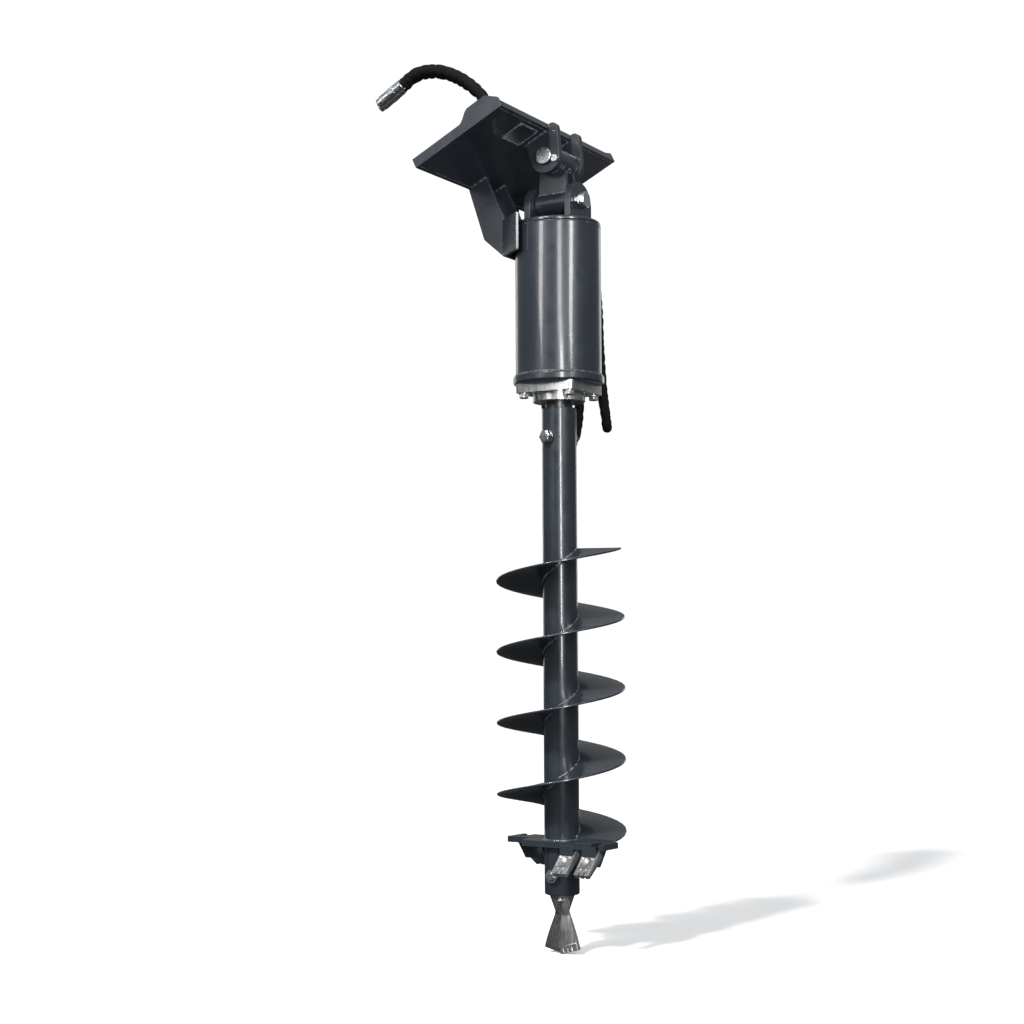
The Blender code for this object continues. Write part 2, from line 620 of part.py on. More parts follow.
def cradle_gussets(looks, mount):
    front = UPPER_PIN_Y + pad_corner(CRADLE_PAD_T)[1] + GAP
    outline = [(front, PAD_FOOT), (front, PAD_TOP + CRADLE_NOSE_RISE),
               from_plate(-PLATE_T - GAP, CRADLE_ROOT_TOP), from_plate(-PLATE_T - GAP, CRADLE_ROOT_FOOT),
               (front + CRADLE_HEEL_BACK, PAD_FOOT + CRADLE_HEEL_RISE)]
    for name, x in (("left", -CRADLE_GUSSET_OUTER), ("right", CRADLE_GUSSET_OUTER - CRADLE_GUSSET_T)):
        mesh = prism("cradle_gusset", outline, CRADLE_GUSSET_T)
        place("cradle_gusset_" + name, mesh, looks["paint"], mount, (x, 0, 0), ALONG_X)


# Swing link between the two pins
def link_tube(name, looks, parent, location, rotation, outer, pin_r):
    inner = bore(pin_r + BUSHING_WALL, PIN_STEPS)
    place(name, turned(name, sleeve_profile(outer, inner, -LINK_HALF, LINK_HALF, PIN_CHAMFER / 2), PIN_STEPS),
          looks["paint"], parent, location, rotation)


def bushing(name, looks, parent, location, rotation, pin_r):
    profile = sleeve_profile(pin_r + BUSHING_WALL, bore(pin_r, PIN_STEPS), -LINK_HALF, LINK_HALF, 0)
    profile = list(dict.fromkeys(profile))
    place(name, turned(name, profile, PIN_STEPS), looks["bronze"], parent, location, rotation)


def link_webs(looks, swing):
    outline = [(-WEB_TOP_HALF, -WEB_TOP_DROP), (WEB_TOP_HALF, -WEB_TOP_DROP),
               (WEB_FOOT_HALF, -WEB_SHOULDER_DROP), (WEB_FOOT_HALF, -WEB_FOOT_DROP),
               (-WEB_FOOT_HALF, -WEB_FOOT_DROP),
               (-WEB_FOOT_HALF, -WEB_SHOULDER_DROP)]
    reach = LINK_HALF + OVERRUN
    upper = guide("upper_tube_cut", turned("upper_tube_cut", plain_bar(bore(UPPER_TUBE_R, PIN_STEPS), reach),
                                           PIN_STEPS), swing, (0, 0, 0), SPIN_X)
    lower = guide("lower_tube_cut", turned("lower_tube_cut", plain_bar(bore(LOWER_TUBE_R, PIN_STEPS), reach),
                                           PIN_STEPS), swing, (0, 0, -PIN_SPACING), SPIN_Y)
    for name, x in (("left", -WEB_INNER - WEB_T), ("right", WEB_INNER)):
        web = place("link_web_" + name, prism("link_web", outline, WEB_T), looks["paint"], swing, (x, 0, 0),
                    ALONG_X, smooth=False)
        combine(web, upper)
        combine(web, lower)


def swing_link(looks, swing):
    link_tube("link_upper_tube", looks, swing, (0, 0, 0), SPIN_X, UPPER_TUBE_R, UPPER_PIN_R)
    link_tube("link_lower_tube", looks, swing, (0, 0, -PIN_SPACING), SPIN_Y, LOWER_TUBE_R, LOWER_PIN_R)
    bushing("upper_bushing", looks, swing, (0, 0, 0), SPIN_X, UPPER_PIN_R)
    bushing("lower_bushing", looks, swing, (0, 0, -PIN_SPACING), SPIN_Y, LOWER_PIN_R)
    link_webs(looks, swing)


# Drive, drawn about the lower pin: z is counted up from its axis
def drive_ears(looks, sway):
    foot = -HOUSING_DROP + GAP
    dome = circle(DRIVE_EAR_R, 24, (0, -DRIVE_EAR_CENTRE_DROP), 0, pi, close=True)
    outline = [(-DRIVE_EAR_R, foot), (DRIVE_EAR_R, foot), *dome]
    hole = circle(bore(LOWER_PIN_R, PIN_STEPS), PIN_STEPS)
    keeper = (LOWER_KEEPER_OFFSET * cos(LOWER_KEEPER_ANGLE), LOWER_KEEPER_OFFSET * sin(LOWER_KEEPER_ANGLE))
    keeper_hole = circle(bore(KEEPER_SHANK_R, BOLT_STEPS), BOLT_STEPS, keeper)
    place("drive_ear_front", prism("drive_ear_front", outline, EAR_T, [hole, keeper_hole]), looks["paint"],
          sway, (0, EAR_T - EAR_OUTER, 0), ALONG_Y)
    place("drive_ear_rear", prism("drive_ear_rear", outline, EAR_T, [hole]), looks["paint"], sway,
          (0, EAR_OUTER, 0), ALONG_Y)
    place("lower_pin", pin_mesh("lower_pin", LOWER_PIN_R, LOWER_PIN_REACH), looks["zinc"], sway,
          (0, 0, 0), SPIN_Y)
    place("lower_pin_keeper", keeper_mesh("lower_pin_keeper"), looks["zinc"], sway,
          (keeper[0], -EAR_OUTER, keeper[1]), ALONG_Y)


def drive_housing(looks, sway):
    top_plate = turned("housing_top_plate", bar_profile(HOUSING_R, -HOUSING_DROP - TOP_PLATE_T, -HOUSING_DROP,
                                                        RING_CHAMFER))
    place("housing_top_plate", top_plate, looks["paint"], sway)
    wall = sleeve_profile(HOUSING_R, HOUSING_R - HOUSING_WALL, HOUSING_FOOT, HOUSING_TOP, EDGE_CHAMFER)
    housing = place("drive_housing", turned("drive_housing", wall), looks["paint"], sway)
    outline = rounded_box(WINDOW_WIDTH, WINDOW_HEIGHT, WINDOW_WIDTH / 4)
    start = HOUSING_R - 3 * HOUSING_WALL / 2
    cutter = guide("port_window_cut", prism("port_window_cut", outline, 2 * HOUSING_WALL), sway,
                   (start * cos(PORT_ANGLE), start * sin(PORT_ANGLE), WINDOW_LEVEL), TOWARD_PORTS)
    combine(housing, cutter)
    ring = sleeve_profile(RING_R, bore(CASE_R, ROUND_STEPS), RING_FOOT, HOUSING_FOOT - GAP, RING_CHAMFER)
    flange_ring = place("housing_flange_ring", turned("housing_flange_ring", ring), looks["paint"], sway)
    combine(flange_ring, flange_bolt_cuts(sway))


def flange_bolt_places():
    reach = FLANGE_SIDE / 2 - FLANGE_BOLT_INSET
    return [(-reach, -reach), (reach, -reach), (reach, reach), (-reach, reach)]


def flange_bolt_cuts(sway):
    """The four bolt holes through the flange and its ring, as one cutter."""
    bm = bmesh.new()
    for x, y in flange_bolt_places():
        ring = circle(bore(FLANGE_BOLT_R, BOLT_STEPS), BOLT_STEPS, (x, y))
        low = [bm.verts.new((px, py, FLANGE_FOOT - OVERRUN)) for px, py in ring]
        high = [bm.verts.new((px, py, HOUSING_FOOT + OVERRUN)) for px, py in ring]
        bm.faces.new(low)
        bm.faces.new(high)
        for i in range(BOLT_STEPS):
            j = (i + 1) % BOLT_STEPS
            bm.faces.new((low[i], low[j], high[j], high[i]))
    return guide("flange_bolt_cut", finished(bm, "flange_bolt_cut"), sway)


def gearbox(looks, sway):
    square = rounded_box(FLANGE_SIDE, FLANGE_SIDE, FLANGE_CORNER_R)
    seat = bore(BEARING_R, ROUND_STEPS)
    holes = [circle(seat, ROUND_STEPS)]
    holes += [circle(bore(FLANGE_BOLT_R, BOLT_STEPS), BOLT_STEPS, spot) for spot in flange_bolt_places()]
    flange = place("gearbox_flange", prism("gearbox_flange", square, FLANGE_T, holes), looks["machined"],
                   sway, (0, 0, FLANGE_FOOT))
    ledge = FLANGE_TOP - BEARING_SEAT
    throat = bore(SHAFT_R, ROUND_STEPS)
    boss = [(throat, BOSS_FOOT), (BOSS_R - EDGE_CHAMFER, BOSS_FOOT), (BOSS_R, BOSS_FOOT + EDGE_CHAMFER),
            (BOSS_R, FLANGE_FOOT + OVERRUN), (seat, FLANGE_FOOT + OVERRUN), (seat, ledge), (throat, ledge)]
    combine(flange, guide("boss_add", turned("boss_add", boss), sway), "UNION")
    cup = [(throat, ledge + GAP), (BEARING_R, ledge + GAP), (BEARING_R, FLANGE_TOP - GAP),
           (throat + SEAL_LIP, FLANGE_TOP - GAP), (throat, FLANGE_TOP - GAP - SEAL_LIP)]
    place("output_bearing_cup", turned("output_bearing_cup", cup), looks["bronze"], sway)
    for i, (x, y) in enumerate(flange_bolt_places()):
        place(f"flange_bolt_{i + 1}", flange_bolt_mesh(), looks["zinc"], sway, (x, y, FLANGE_FOOT - GAP))


def flange_bolt_mesh():
    """Bolt screwed in from below: zero is the flange's underside."""
    washer_foot = -FLANGE_BOLT_WASHER_T
    head_foot = washer_foot - FLANGE_BOLT_HEAD
    head = FLANGE_BOLT_AF / 2
    profile = [(0, head_foot), (head - EDGE_CHAMFER, head_foot), (head, head_foot + EDGE_CHAMFER, 6),
               (head, washer_foot, 6), (FLANGE_BOLT_WASHER_R, washer_foot), (FLANGE_BOLT_WASHER_R, 0),
               (FLANGE_BOLT_R, 0), (FLANGE_BOLT_R, FLANGE_BOLT_GRIP), (0, FLANGE_BOLT_GRIP)]
    return turned("flange_bolt", profile, BOLT_STEPS)


# Gears: involute flanks, sampled from the base circle to the tip
def involute(angle):
    return tan(angle) - angle


def gear_outline(teeth, low_r, high_r, widen, phase):
    """Toothed outline whose bumps have their middles at phase; widen is added to each flank."""
    pitch_r = MODULE * teeth / 2
    base_r = pitch_r * cos(PRESSURE_ANGLE)
    start_r = max(low_r, base_r)
    radii = [start_r + (high_r - start_r) * i / (FLANK_POINTS - 1) for i in range(FLANK_POINTS)]

    def half_angle(radius):
        turn = acos(min(1.0, base_r / radius))
        return pi / (2 * teeth) + widen / pitch_r + involute(PRESSURE_ANGLE) - involute(turn)

    rise = [(radius, -half_angle(radius)) for radius in radii]
    if low_r < start_r:
        rise.insert(0, (low_r, -half_angle(start_r)))
    fall = [(radius, -angle) for radius, angle in reversed(rise)]
    points = []
    for k in range(teeth):
        middle = phase + 2 * pi * k / teeth
        points += [(radius * cos(middle + angle), radius * sin(middle + angle))
                   for radius, angle in rise + fall]
    return points


def outer_gear(teeth, phase):
    pitch_r = MODULE * teeth / 2
    return gear_outline(teeth, pitch_r - DEDENDUM, pitch_r + ADDENDUM, -FLANK_THINNING, phase)


def ring_gear_case(looks, sway):
    pitch_r = MODULE * RING_TEETH / 2
    inside = gear_outline(RING_TEETH, pitch_r - ADDENDUM, pitch_r + DEDENDUM, FLANK_THINNING, pi / RING_TEETH)
    mesh = prism("ring_gear_case", circle(CASE_R, ROUND_STEPS), CASE_HEIGHT, [inside])
    place("ring_gear_case", mesh, looks["gear"], sway, (0, 0, FLANGE_TOP + GAP), smooth=False)


def motor(looks, sway):
    adapter_foot = CASE_TOP + GAP
    adapter = sleeve_profile(CASE_R, ADAPTER_BORE_R, adapter_foot, adapter_foot + ADAPTER_T, EDGE_CHAMFER)
    place("motor_adapter", turned("motor_adapter", adapter, INNER_STEPS), looks["cast"], sway)
    hole = bore(SUN_SHAFT_R, BOLT_STEPS)
    bore_top = MOTOR_FOOT + MOTOR_BORE_DEPTH
    flange_top = MOTOR_FOOT + MOTOR_FLANGE_T
    cover = MOTOR_COVER_FOOT
    end = cover + MOTOR_COVER_T
    body = [(0, bore_top), (hole, bore_top), (hole, MOTOR_FOOT), (MOTOR_FLANGE_R, MOTOR_FOOT),
            (MOTOR_FLANGE_R, flange_top), (MOTOR_R, flange_top), (MOTOR_R, cover), (MOTOR_COVER_R, cover),
            (MOTOR_COVER_R, end - EDGE_CHAMFER), (MOTOR_COVER_R - EDGE_CHAMFER, end), (0, end)]
    place("motor_body", turned("motor_body", body, INNER_STEPS), looks["cast"], sway)
    seat = MOTOR_R + GAP
    for name, drop in zip(("pressure", "return"), PORT_DROPS):
        place("port_fitting_" + name, fitting_mesh(), looks["zinc"], sway,
              (seat * cos(PORT_ANGLE), seat * sin(PORT_ANGLE), MOTOR_COVER_FOOT - drop), TOWARD_PORTS)


def fitting_mesh():
    """Port fitting along +Z from the motor: stub, hex and crimped ferrule."""
    end = FITTING_END - MOTOR_R - GAP
    hex_top = end - FITTING_FERRULE
    hex_foot = hex_top - FITTING_HEX_T
    half = FITTING_HEX_AF / 2
    groove = FITTING_R - EDGE_CHAMFER
    middle = (hex_top + end) / 2
    return turned("port_fitting", [(0, 0), (FITTING_R, 0), (FITTING_R, hex_foot), (half, hex_foot, 6),
                                   (half, hex_top, 6), (FITTING_R, hex_top), (FITTING_R, middle),
                                   (groove, middle + EDGE_CHAMFER), (FITTING_R, middle + 2 * EDGE_CHAMFER),
                                   (FITTING_R, end), (0, end)], BOLT_STEPS)


# Auger, drawn about its own axis with zero at the tube's top
def planetary(looks, spin):
    disc = bar_profile(CARRIER_R, CARRIER_TOP - CARRIER_T, CARRIER_TOP, EDGE_CHAMFER)
    carrier = place("planet_carrier", turned("planet_carrier", disc, INNER_STEPS), looks["gear"], spin)
    pins = bmesh.new()
    for i in range(PLANETS):
        x, y = planet_place(i)
        ring = circle(PLANET_PIN_R, BOLT_STEPS, (x, y))
        low = [pins.verts.new((px, py, CARRIER_TOP - CARRIER_T / 2)) for px, py in ring]
        high = [pins.verts.new((px, py, CARRIER_TOP + PLANET_PIN_RISE)) for px, py in ring]
        pins.faces.new(low)
        pins.faces.new(high)
        for k in range(BOLT_STEPS):
            m = (k + 1) % BOLT_STEPS
            pins.faces.new((low[k], low[m], high[m], high[k]))
    combine(carrier, guide("planet_pins_add", finished(pins, "planet_pins_add"), spin), "UNION")
    level = CARRIER_TOP + GAP
    for i in range(PLANETS):
        hole = circle(bore(PLANET_PIN_R, BOLT_STEPS), BOLT_STEPS)
        turn = 2 * pi * i / PLANETS
        mesh = prism("planet_gear", outer_gear(PLANET_TEETH, turn + pi / PLANET_TEETH), GEAR_WIDTH, [hole])
        x, y = planet_place(i)
        place(f"planet_gear_{i + 1}", mesh, looks["gear"], spin, (x, y, level), smooth=False)
    sun = place("sun_gear_shaft", prism("sun_gear_shaft", outer_gear(SUN_TEETH, 0), GEAR_WIDTH),
                looks["gear"], spin, (0, 0, level), smooth=False)
    stem = [(0, GEAR_WIDTH - OVERRUN), (SUN_SHAFT_R, GEAR_WIDTH - OVERRUN),
            (SUN_SHAFT_R, GEAR_WIDTH + SUN_SHAFT_RISE), (0, GEAR_WIDTH + SUN_SHAFT_RISE)]
    stem_add = guide("sun_stem_add", turned("sun_stem_add", stem, BOLT_STEPS), spin, (0, 0, level))
    combine(sun, stem_add, "UNION")


def planet_place(i):
    angle = 2 * pi * i / PLANETS
    return CENTRE_DISTANCE * cos(angle), CENTRE_DISTANCE * sin(angle)


def cross_cut(name, spin, radius, level, angle):
    """Cutter for a bolt hole right across the auger."""
    reach = TUBE_R + OVERRUN
    return guide(name, turned(name, plain_bar(bore(radius, BOLT_STEPS), reach), BOLT_STEPS), spin,
                 (0, 0, level), (0, pi / 2, angle))


def shaft_and_tube(looks, spin):
    hub = cross_cut("hub_bolt_cut", spin, HUB_BOLT_R, -HUB_BOLT_DROP, HUB_BOLT_ANGLE)
    pilot = cross_cut("pilot_bolt_cut", spin, PILOT_BOLT_R, TUBE_FOOT + PILOT_BOLT_RISE, 0)
    top = CARRIER_TOP - CARRIER_T - GAP
    profile = bar_profile(SHAFT_R, -SHAFT_INSERT, top, EDGE_CHAMFER)
    shaft = place("output_shaft", turned("output_shaft", profile), looks["machined"], spin)
    combine(shaft, hub)
    edge = TUBE_END_ROUND
    wall = [(TUBE_BORE_R, TUBE_FOOT), (TUBE_R - edge, TUBE_FOOT), (TUBE_R - edge * (1 - sin(pi / 4)),
            TUBE_FOOT + edge * (1 - sin(pi / 4))), (TUBE_R, TUBE_FOOT + edge), (TUBE_R, -EDGE_CHAMFER),
            (TUBE_R - EDGE_CHAMFER, 0), (TUBE_BORE_R, 0)]
    tube = place("auger_tube", turned("auger_tube", wall), looks["paint"], spin)
    combine(tube, hub)
    combine(tube, pilot)
    bolt = through_bolt("hub_bolt", HUB_BOLT_R, HUB_BOLT_AF, HUB_BOLT_HEAD)
    place("hub_bolt", bolt, looks["zinc"], spin, (0, 0, -HUB_BOLT_DROP), (0, pi / 2, HUB_BOLT_ANGLE))
    bolt = through_bolt("pilot_bolt", PILOT_BOLT_R, PILOT_BOLT_AF, PILOT_BOLT_HEAD)
    place("pilot_bolt", bolt, looks["zinc"], spin, (0, 0, TUBE_FOOT + PILOT_BOLT_RISE), (0, pi / 2, 0))


def through_bolt(name, radius, across, head):
    """Bolt along Z across the tube: washer and head at +Z, nut and thread end at -Z."""
    seat = TUBE_R + GAP
    half = across / 2
    head_foot = seat + WASHER_T
    end = head_foot + head
    nut_end = -seat - NUT_T
    return turned(name, [(0, nut_end - THREAD_END), (radius - EDGE_CHAMFER, nut_end - THREAD_END),
                         (radius, nut_end - THREAD_END + EDGE_CHAMFER), (radius, nut_end), (half, nut_end, 6),
                         (half, -seat, 6), (radius, -seat), (radius, seat), (WASHER_R, seat),
                         (WASHER_R, head_foot), (half, head_foot, 6), (half, end - EDGE_CHAMFER, 6),
                         (half - EDGE_CHAMFER, end), (0, end)], BOLT_STEPS)


def auger_flight(looks, spin):
    """Right-handed helicoid that climbs from the head plate, thinner towards its rim."""
    steps = ceil(FLIGHT_TURNS * FLIGHT_STEPS)
    foot = HEAD_TOP + GAP + FLIGHT_T / 2
    section = ((TUBE_R + GAP, -FLIGHT_T / 2), (FLIGHT_R, -FLIGHT_RIM_T / 2), (FLIGHT_R, FLIGHT_RIM_T / 2),
               (TUBE_R + GAP, FLIGHT_T / 2))
    bm = bmesh.new()
    rows = []
    for i in range(steps + 1):
        turn = FLIGHT_TURNS * i / steps
        angle = FLIGHT_FOOT_ANGLE + 2 * pi * turn
        level = foot + FLIGHT_PITCH * turn
        rows.append([bm.verts.new((radius * cos(angle), radius * sin(angle), level + rise))
                     for radius, rise in section])
    for low, high in zip(rows, rows[1:]):
        for k in range(len(section)):
            m = (k + 1) % len(section)
            bm.faces.new((low[k], low[m], high[m], high[k]))
    bm.faces.new(rows[0])
    bm.faces.new(rows[-1])
    place("auger_flight", finished(bm, "auger_flight"), looks["paint"], spin)


# Cutting head: x runs along the arm, -y is the leading side
def head_outline():
    arm = [(HEAD_NOTCH_R, -HEAD_LEAD), (HEAD_NOTCH_FLOOR_R, -HEAD_NOTCH_FLOOR),
           (HEAD_NOTCH_FLOOR_R + HEAD_NOTCH_FLOOR_WIDTH, -HEAD_NOTCH_FLOOR),
           (HEAD_NOTCH_R + HEAD_NOTCH_WIDTH, -HEAD_LEAD), (HEAD_R, -HEAD_LEAD), (HEAD_R, HEAD_TRAIL),
           (HEAD_TRAIL_STEP_R + HEAD_TRAIL_SLANT, HEAD_TRAIL), (HEAD_TRAIL_STEP_R, HEAD_TRAIL_INNER)]
    return arm + [(-x, -y) for x, y in arm]


def tooth_line(front, along):
    """Place in the holder's side view (forward, up): front off the tooth's face, along it from its root."""
    x = HEAD_LEAD - TOOTH_BACK + (along - TOOTH_SOCKET) * cos(TOOTH_SLOPE) + front * sin(TOOTH_SLOPE)
    z = -TOOTH_DROP - (along - TOOTH_SOCKET) * sin(TOOTH_SLOPE) + front * cos(TOOTH_SLOPE)
    return x, z


def holder_outline():
    """Side view of a tooth holder, forward and up from the head plate's underside."""
    front = HEAD_LEAD
    face_x, face_z = tooth_line(GAP, TOOTH_SOCKET)
    nose_z = face_z - (front - face_x) * tan(TOOTH_SLOPE)
    lip = tooth_line(-TOOTH_T - GAP, HOLDER_LIP)
    heel = tooth_line(-TOOTH_T - GAP - HOLDER_WALL, HOLDER_LIP)
    return [(front - HOLDER_HEEL, HEAD_T / 2), (front, HEAD_T / 2), (front, nose_z), tooth_line(GAP, -GAP),
            tooth_line(-TOOTH_T - GAP, -GAP), lip, heel, (front - HOLDER_HEEL, 0)]


def head_plate(looks, spin):
    hole = circle(bore(TUBE_R, ROUND_STEPS), ROUND_STEPS)
    plate = place("head_plate", prism("head_plate", head_outline(), HEAD_T, [hole]), looks["paint"], spin,
                  (0, 0, HEAD_TOP - HEAD_T), (0, 0, HEAD_ANGLE), smooth=False)
    for arm in range(2):
        for k, radius in enumerate(TOOTH_RADII):
            name = f"holder_add_{2 * arm + k + 1}"
            turn = HEAD_ANGLE + pi * arm
            spot = Matrix.Rotation(turn, 3, "Z") @ Vector((radius + HOLDER_WIDTH / 2, 0, 0))
            mesh = prism(name, holder_outline(), HOLDER_WIDTH)
            holder = guide(name, mesh, spin, (spot.x, spot.y, HEAD_TOP - HEAD_T), (pi / 2, 0, turn - pi / 2))
            combine(plate, holder, "UNION")
    tube = guide("tube_cut", turned("tube_cut", plain_bar(bore(TUBE_R, ROUND_STEPS), HOLDER_HEEL)), spin,
                 (0, 0, HEAD_TOP - HEAD_T))
    combine(plate, tube)


def tooth_mesh(name):
    """Tooth with three fingers: x across, y along the slope from its root, z through from its back."""
    half = TOOTH_WIDTH / 2
    cut = TOOTH_WIDTH * TOOTH_FINGER_GAP_SHARE / 2
    floor = TOOTH_LENGTH - TOOTH_FINGER_CUT
    outline = [(-half, 0), (half, 0), (half, TOOTH_LENGTH)]
    for side in (1, -1):
        middle = side * TOOTH_WIDTH / 6
        outline += [(middle + cut, TOOTH_LENGTH), (middle + cut / 2, floor), (middle - cut / 2, floor),
                    (middle - cut, TOOTH_LENGTH)]
    outline.append((-half, TOOTH_LENGTH))
    bm = bmesh.new()
    mesh = prism(name, outline, TOOTH_T)
    bm.from_mesh(mesh)
    for vert in bm.verts:
        if vert.co.z == 0:
            share = max(0, vert.co.y - TOOTH_SOCKET) / (TOOTH_LENGTH - TOOTH_SOCKET)
            vert.co.z = share * (TOOTH_T - TOOTH_TIP_T)
    bm.to_mesh(mesh)
    bm.free()
    return mesh


def teeth(looks, spin):
    for arm in range(2):
        for k, radius in enumerate(TOOTH_RADII):
            turn = HEAD_ANGLE + pi * arm
            forward, up = tooth_line(-TOOTH_T, 0)
            spot = Matrix.Rotation(turn, 3, "Z") @ Vector((radius, -forward, up + HEAD_TOP - HEAD_T))
            slope = Matrix(((-1, 0, 0), (0, -cos(TOOTH_SLOPE), -sin(TOOTH_SLOPE)),
                            (0, -sin(TOOTH_SLOPE), cos(TOOTH_SLOPE))))
            facing = Matrix.Rotation(turn, 3, "Z") @ slope
            name = f"tooth_{2 * arm + k + 1}"
            place(name, tooth_mesh(name), looks["forged"], spin, spot, facing.to_euler(), smooth=False)


def pilot_ring(share):
    """Cross-section of the pilot below its shank: share 0 is the shank's end, 1 the cutting edge."""
    waist_share = (PILOT_WAIST_DROP - PILOT_SHANK_OUT) / (PILOT_REACH - PILOT_SHANK_OUT)
    depth = PILOT_SHANK_OUT + share * (PILOT_REACH - PILOT_SHANK_OUT)
    if share < waist_share:
        part = (1 - cos(pi * share / waist_share)) / 2
        half = PILOT_SHANK_R + part * (PILOT_WAIST_HALF - PILOT_SHANK_R)
        thick = PILOT_SHANK_R + part * (PILOT_WAIST_T / 2 - PILOT_SHANK_R)
        power = 1.0
    else:
        part = (share - waist_share) / (1 - waist_share)
        half = PILOT_WAIST_HALF + part * (PILOT_HALF - PILOT_WAIST_HALF)
        thick = (PILOT_WAIST_T + part * (PILOT_T - PILOT_WAIST_T)) / 2
        power = 1.0 - PILOT_SQUARED_SHARE * part
    turn = PILOT_ANGLE + PILOT_TWIST * (1 - share)
    level = TUBE_FOOT - depth
    points = []
    for i in range(PILOT_STEPS):
        angle = 2 * pi * i / PILOT_STEPS
        x = half * cos(angle)
        y = thick * (abs(sin(angle)) ** power) * (1 if sin(angle) > 0 else -1)
        rise = PILOT_CORNER_RISE * share ** PILOT_RISE_POWER * abs(x) / PILOT_HALF
        points.append((x * cos(turn) - y * sin(turn), x * sin(turn) + y * cos(turn), level + rise))
    return points


def pilot_bit(looks, spin):
    shank_top = TUBE_FOOT + PILOT_SHANK_IN
    turn = PILOT_ANGLE + PILOT_TWIST
    rings = [[(0, 0, shank_top)]]
    for level in (shank_top, TUBE_FOOT - PILOT_SHANK_OUT / 2):
        rings.append([(x, y, level) for x, y in circle(PILOT_SHANK_R, PILOT_STEPS, (0, 0), turn)])
    rings += [pilot_ring(i / PILOT_LEVELS) for i in range(PILOT_LEVELS + 1)]
    rings.append([(0, 0, TUBE_FOOT - PILOT_REACH)])
    bit = place("pilot_bit", loft("pilot_bit", rings), looks["forged"], spin)
    combine(bit, bpy.data.objects["pilot_bolt_cut"])
    claws = bmesh.new()
    for side in (-1, 1):
        for share in PILOT_CLAW_SHARES:
            claw_cut(claws, side * share * PILOT_HALF, PILOT_CORNER_RISE * share)
    cutter = guide("claw_cut", finished(claws, "claw_cut"), spin, (0, 0, TUBE_FOOT - PILOT_REACH),
                   (0, 0, PILOT_ANGLE))
    combine(bit, cutter)


def claw_cut(bm, x, z):
    """One V-shaped cutter across the pilot's edge."""
    foot_half = 2 * PILOT_CLAW_HALF
    low = z - PILOT_CLAW_DEPTH
    corners = ((x - foot_half, low), (x + foot_half, low), (x, z + PILOT_CLAW_DEPTH))
    near = [bm.verts.new((px, -PILOT_SHANK_R, pz)) for px, pz in corners]
    far = [bm.verts.new((px, PILOT_SHANK_R, pz)) for px, pz in corners]
    bm.faces.new(near)
    bm.faces.new(far)
    for i in range(3):
        j = (i + 1) % 3
        bm.faces.new((near[i], near[j], far[j], far[i]))


# Hoses: a smooth curve through each piece's own points
def smooth_route(points):
    """Centripetal curve through the points, in short steps."""
    ends = [2 * points[0] - points[1], *points, 2 * points[-1] - points[-2]]
    line = [points[0]]
    for p0, p1, p2, p3 in zip(ends, ends[1:], ends[2:], ends[3:]):
        knots = [0.0]
        for a, b in ((p0, p1), (p1, p2), (p2, p3)):
            knots.append(knots[-1] + sqrt((b - a).length))
        for i in range(1, ROUTE_STEPS + 1):
            t = knots[1] + (knots[2] - knots[1]) * i / ROUTE_STEPS
            a1 = (p0 * (knots[1] - t) + p1 * t) / knots[1]
            a2 = (p1 * (knots[2] - t) + p2 * (t - knots[1])) / (knots[2] - knots[1])
            a3 = (p2 * (knots[3] - t) + p3 * (t - knots[2])) / (knots[3] - knots[2])
            b1 = (a1 * (knots[2] - t) + a2 * t) / knots[2]
            b2 = (a2 * (knots[3] - t) + a3 * (t - knots[1])) / (knots[3] - knots[1])
            line.append((b1 * (knots[2] - t) + b2 * (t - knots[1])) / (knots[2] - knots[1]))
    return line


def thinned(line):
    """Points of the line, a few diameters apart and closer in bends."""
    kept = [line[0]]
    heading = line[1] - line[0]
    for here, ahead in zip(line[1:-1], line[2:]):
        far = (here - kept[-1]).length > HOSE_SPACING * 2 * HOSE_R
        bent = (ahead - here).angle(heading) > HOSE_TURN
        if far or bent:
            kept.append(here)
            heading = ahead - here
    if (line[-1] - kept[-1]).length < HOSE_R and len(kept) > 1:
        kept.pop()
    return kept + [line[-1]]


def hose_piece(name, points, looks, parent, first, last):
    """Tube through world points; first and last are the straight directions into its ends."""
    start = Vector(points[0]) + GAP / 2 * Vector(first)
    end = Vector(points[-1]) - GAP / 2 * Vector(last)
    after = start + HOSE_STUB * Vector(first)
    before = end - HOSE_STUB * Vector(last)
    between = [Vector(p) for p in points[1:-1]]
    between = [p for p in between if min((p - after).length, (p - before).length) > HOSE_STUB]
    route = [start, *thinned(smooth_route([after, *between, before])), end]
    curve = bpy.data.curves.new(name, "CURVE")
    curve.dimensions = "3D"
    curve.bevel_depth = HOSE_R
    curve.bevel_resolution = 2
    curve.use_fill_caps = True
    spline = curve.splines.new("POLY")
    spline.points.add(len(route) - 1)
    shift = parent.matrix_world.inverted()
    for spot, point in zip(spline.points, route):
        spot.co = (*(shift @ point), 1)
    made = bpy.data.objects.new(name, curve)
    bpy.context.scene.collection.objects.link(made)
    made.parent = parent
    curve.materials.append(looks["rubber"])


def coupler_mesh():
    """Quick coupler along +Z: crimped ferrule on the hose, hex, body with a release ring."""
    ferrule = COUPLER_FERRULE_SHARE * COUPLER_LENGTH
    hexed = COUPLER_HEX_SHARE * COUPLER_LENGTH
    ring_low, ring_high = (share * COUPLER_LENGTH for share in COUPLER_RING_SHARES)
    slim = HOSE_R
    wide = COUPLER_RING_R
    body = slim + EDGE_CHAMFER
    return turned("coupler", [(0, 0), (slim, 0), (body, EDGE_CHAMFER), (body, ferrule), (wide, ferrule, 6),
                              (wide, hexed, 6), (body, hexed), (body, ring_low), (wide, ring_low),
                              (wide, ring_high), (slim, ring_high), (slim, COUPLER_LENGTH),
                              (0, COUPLER_LENGTH)], BOLT_STEPS)


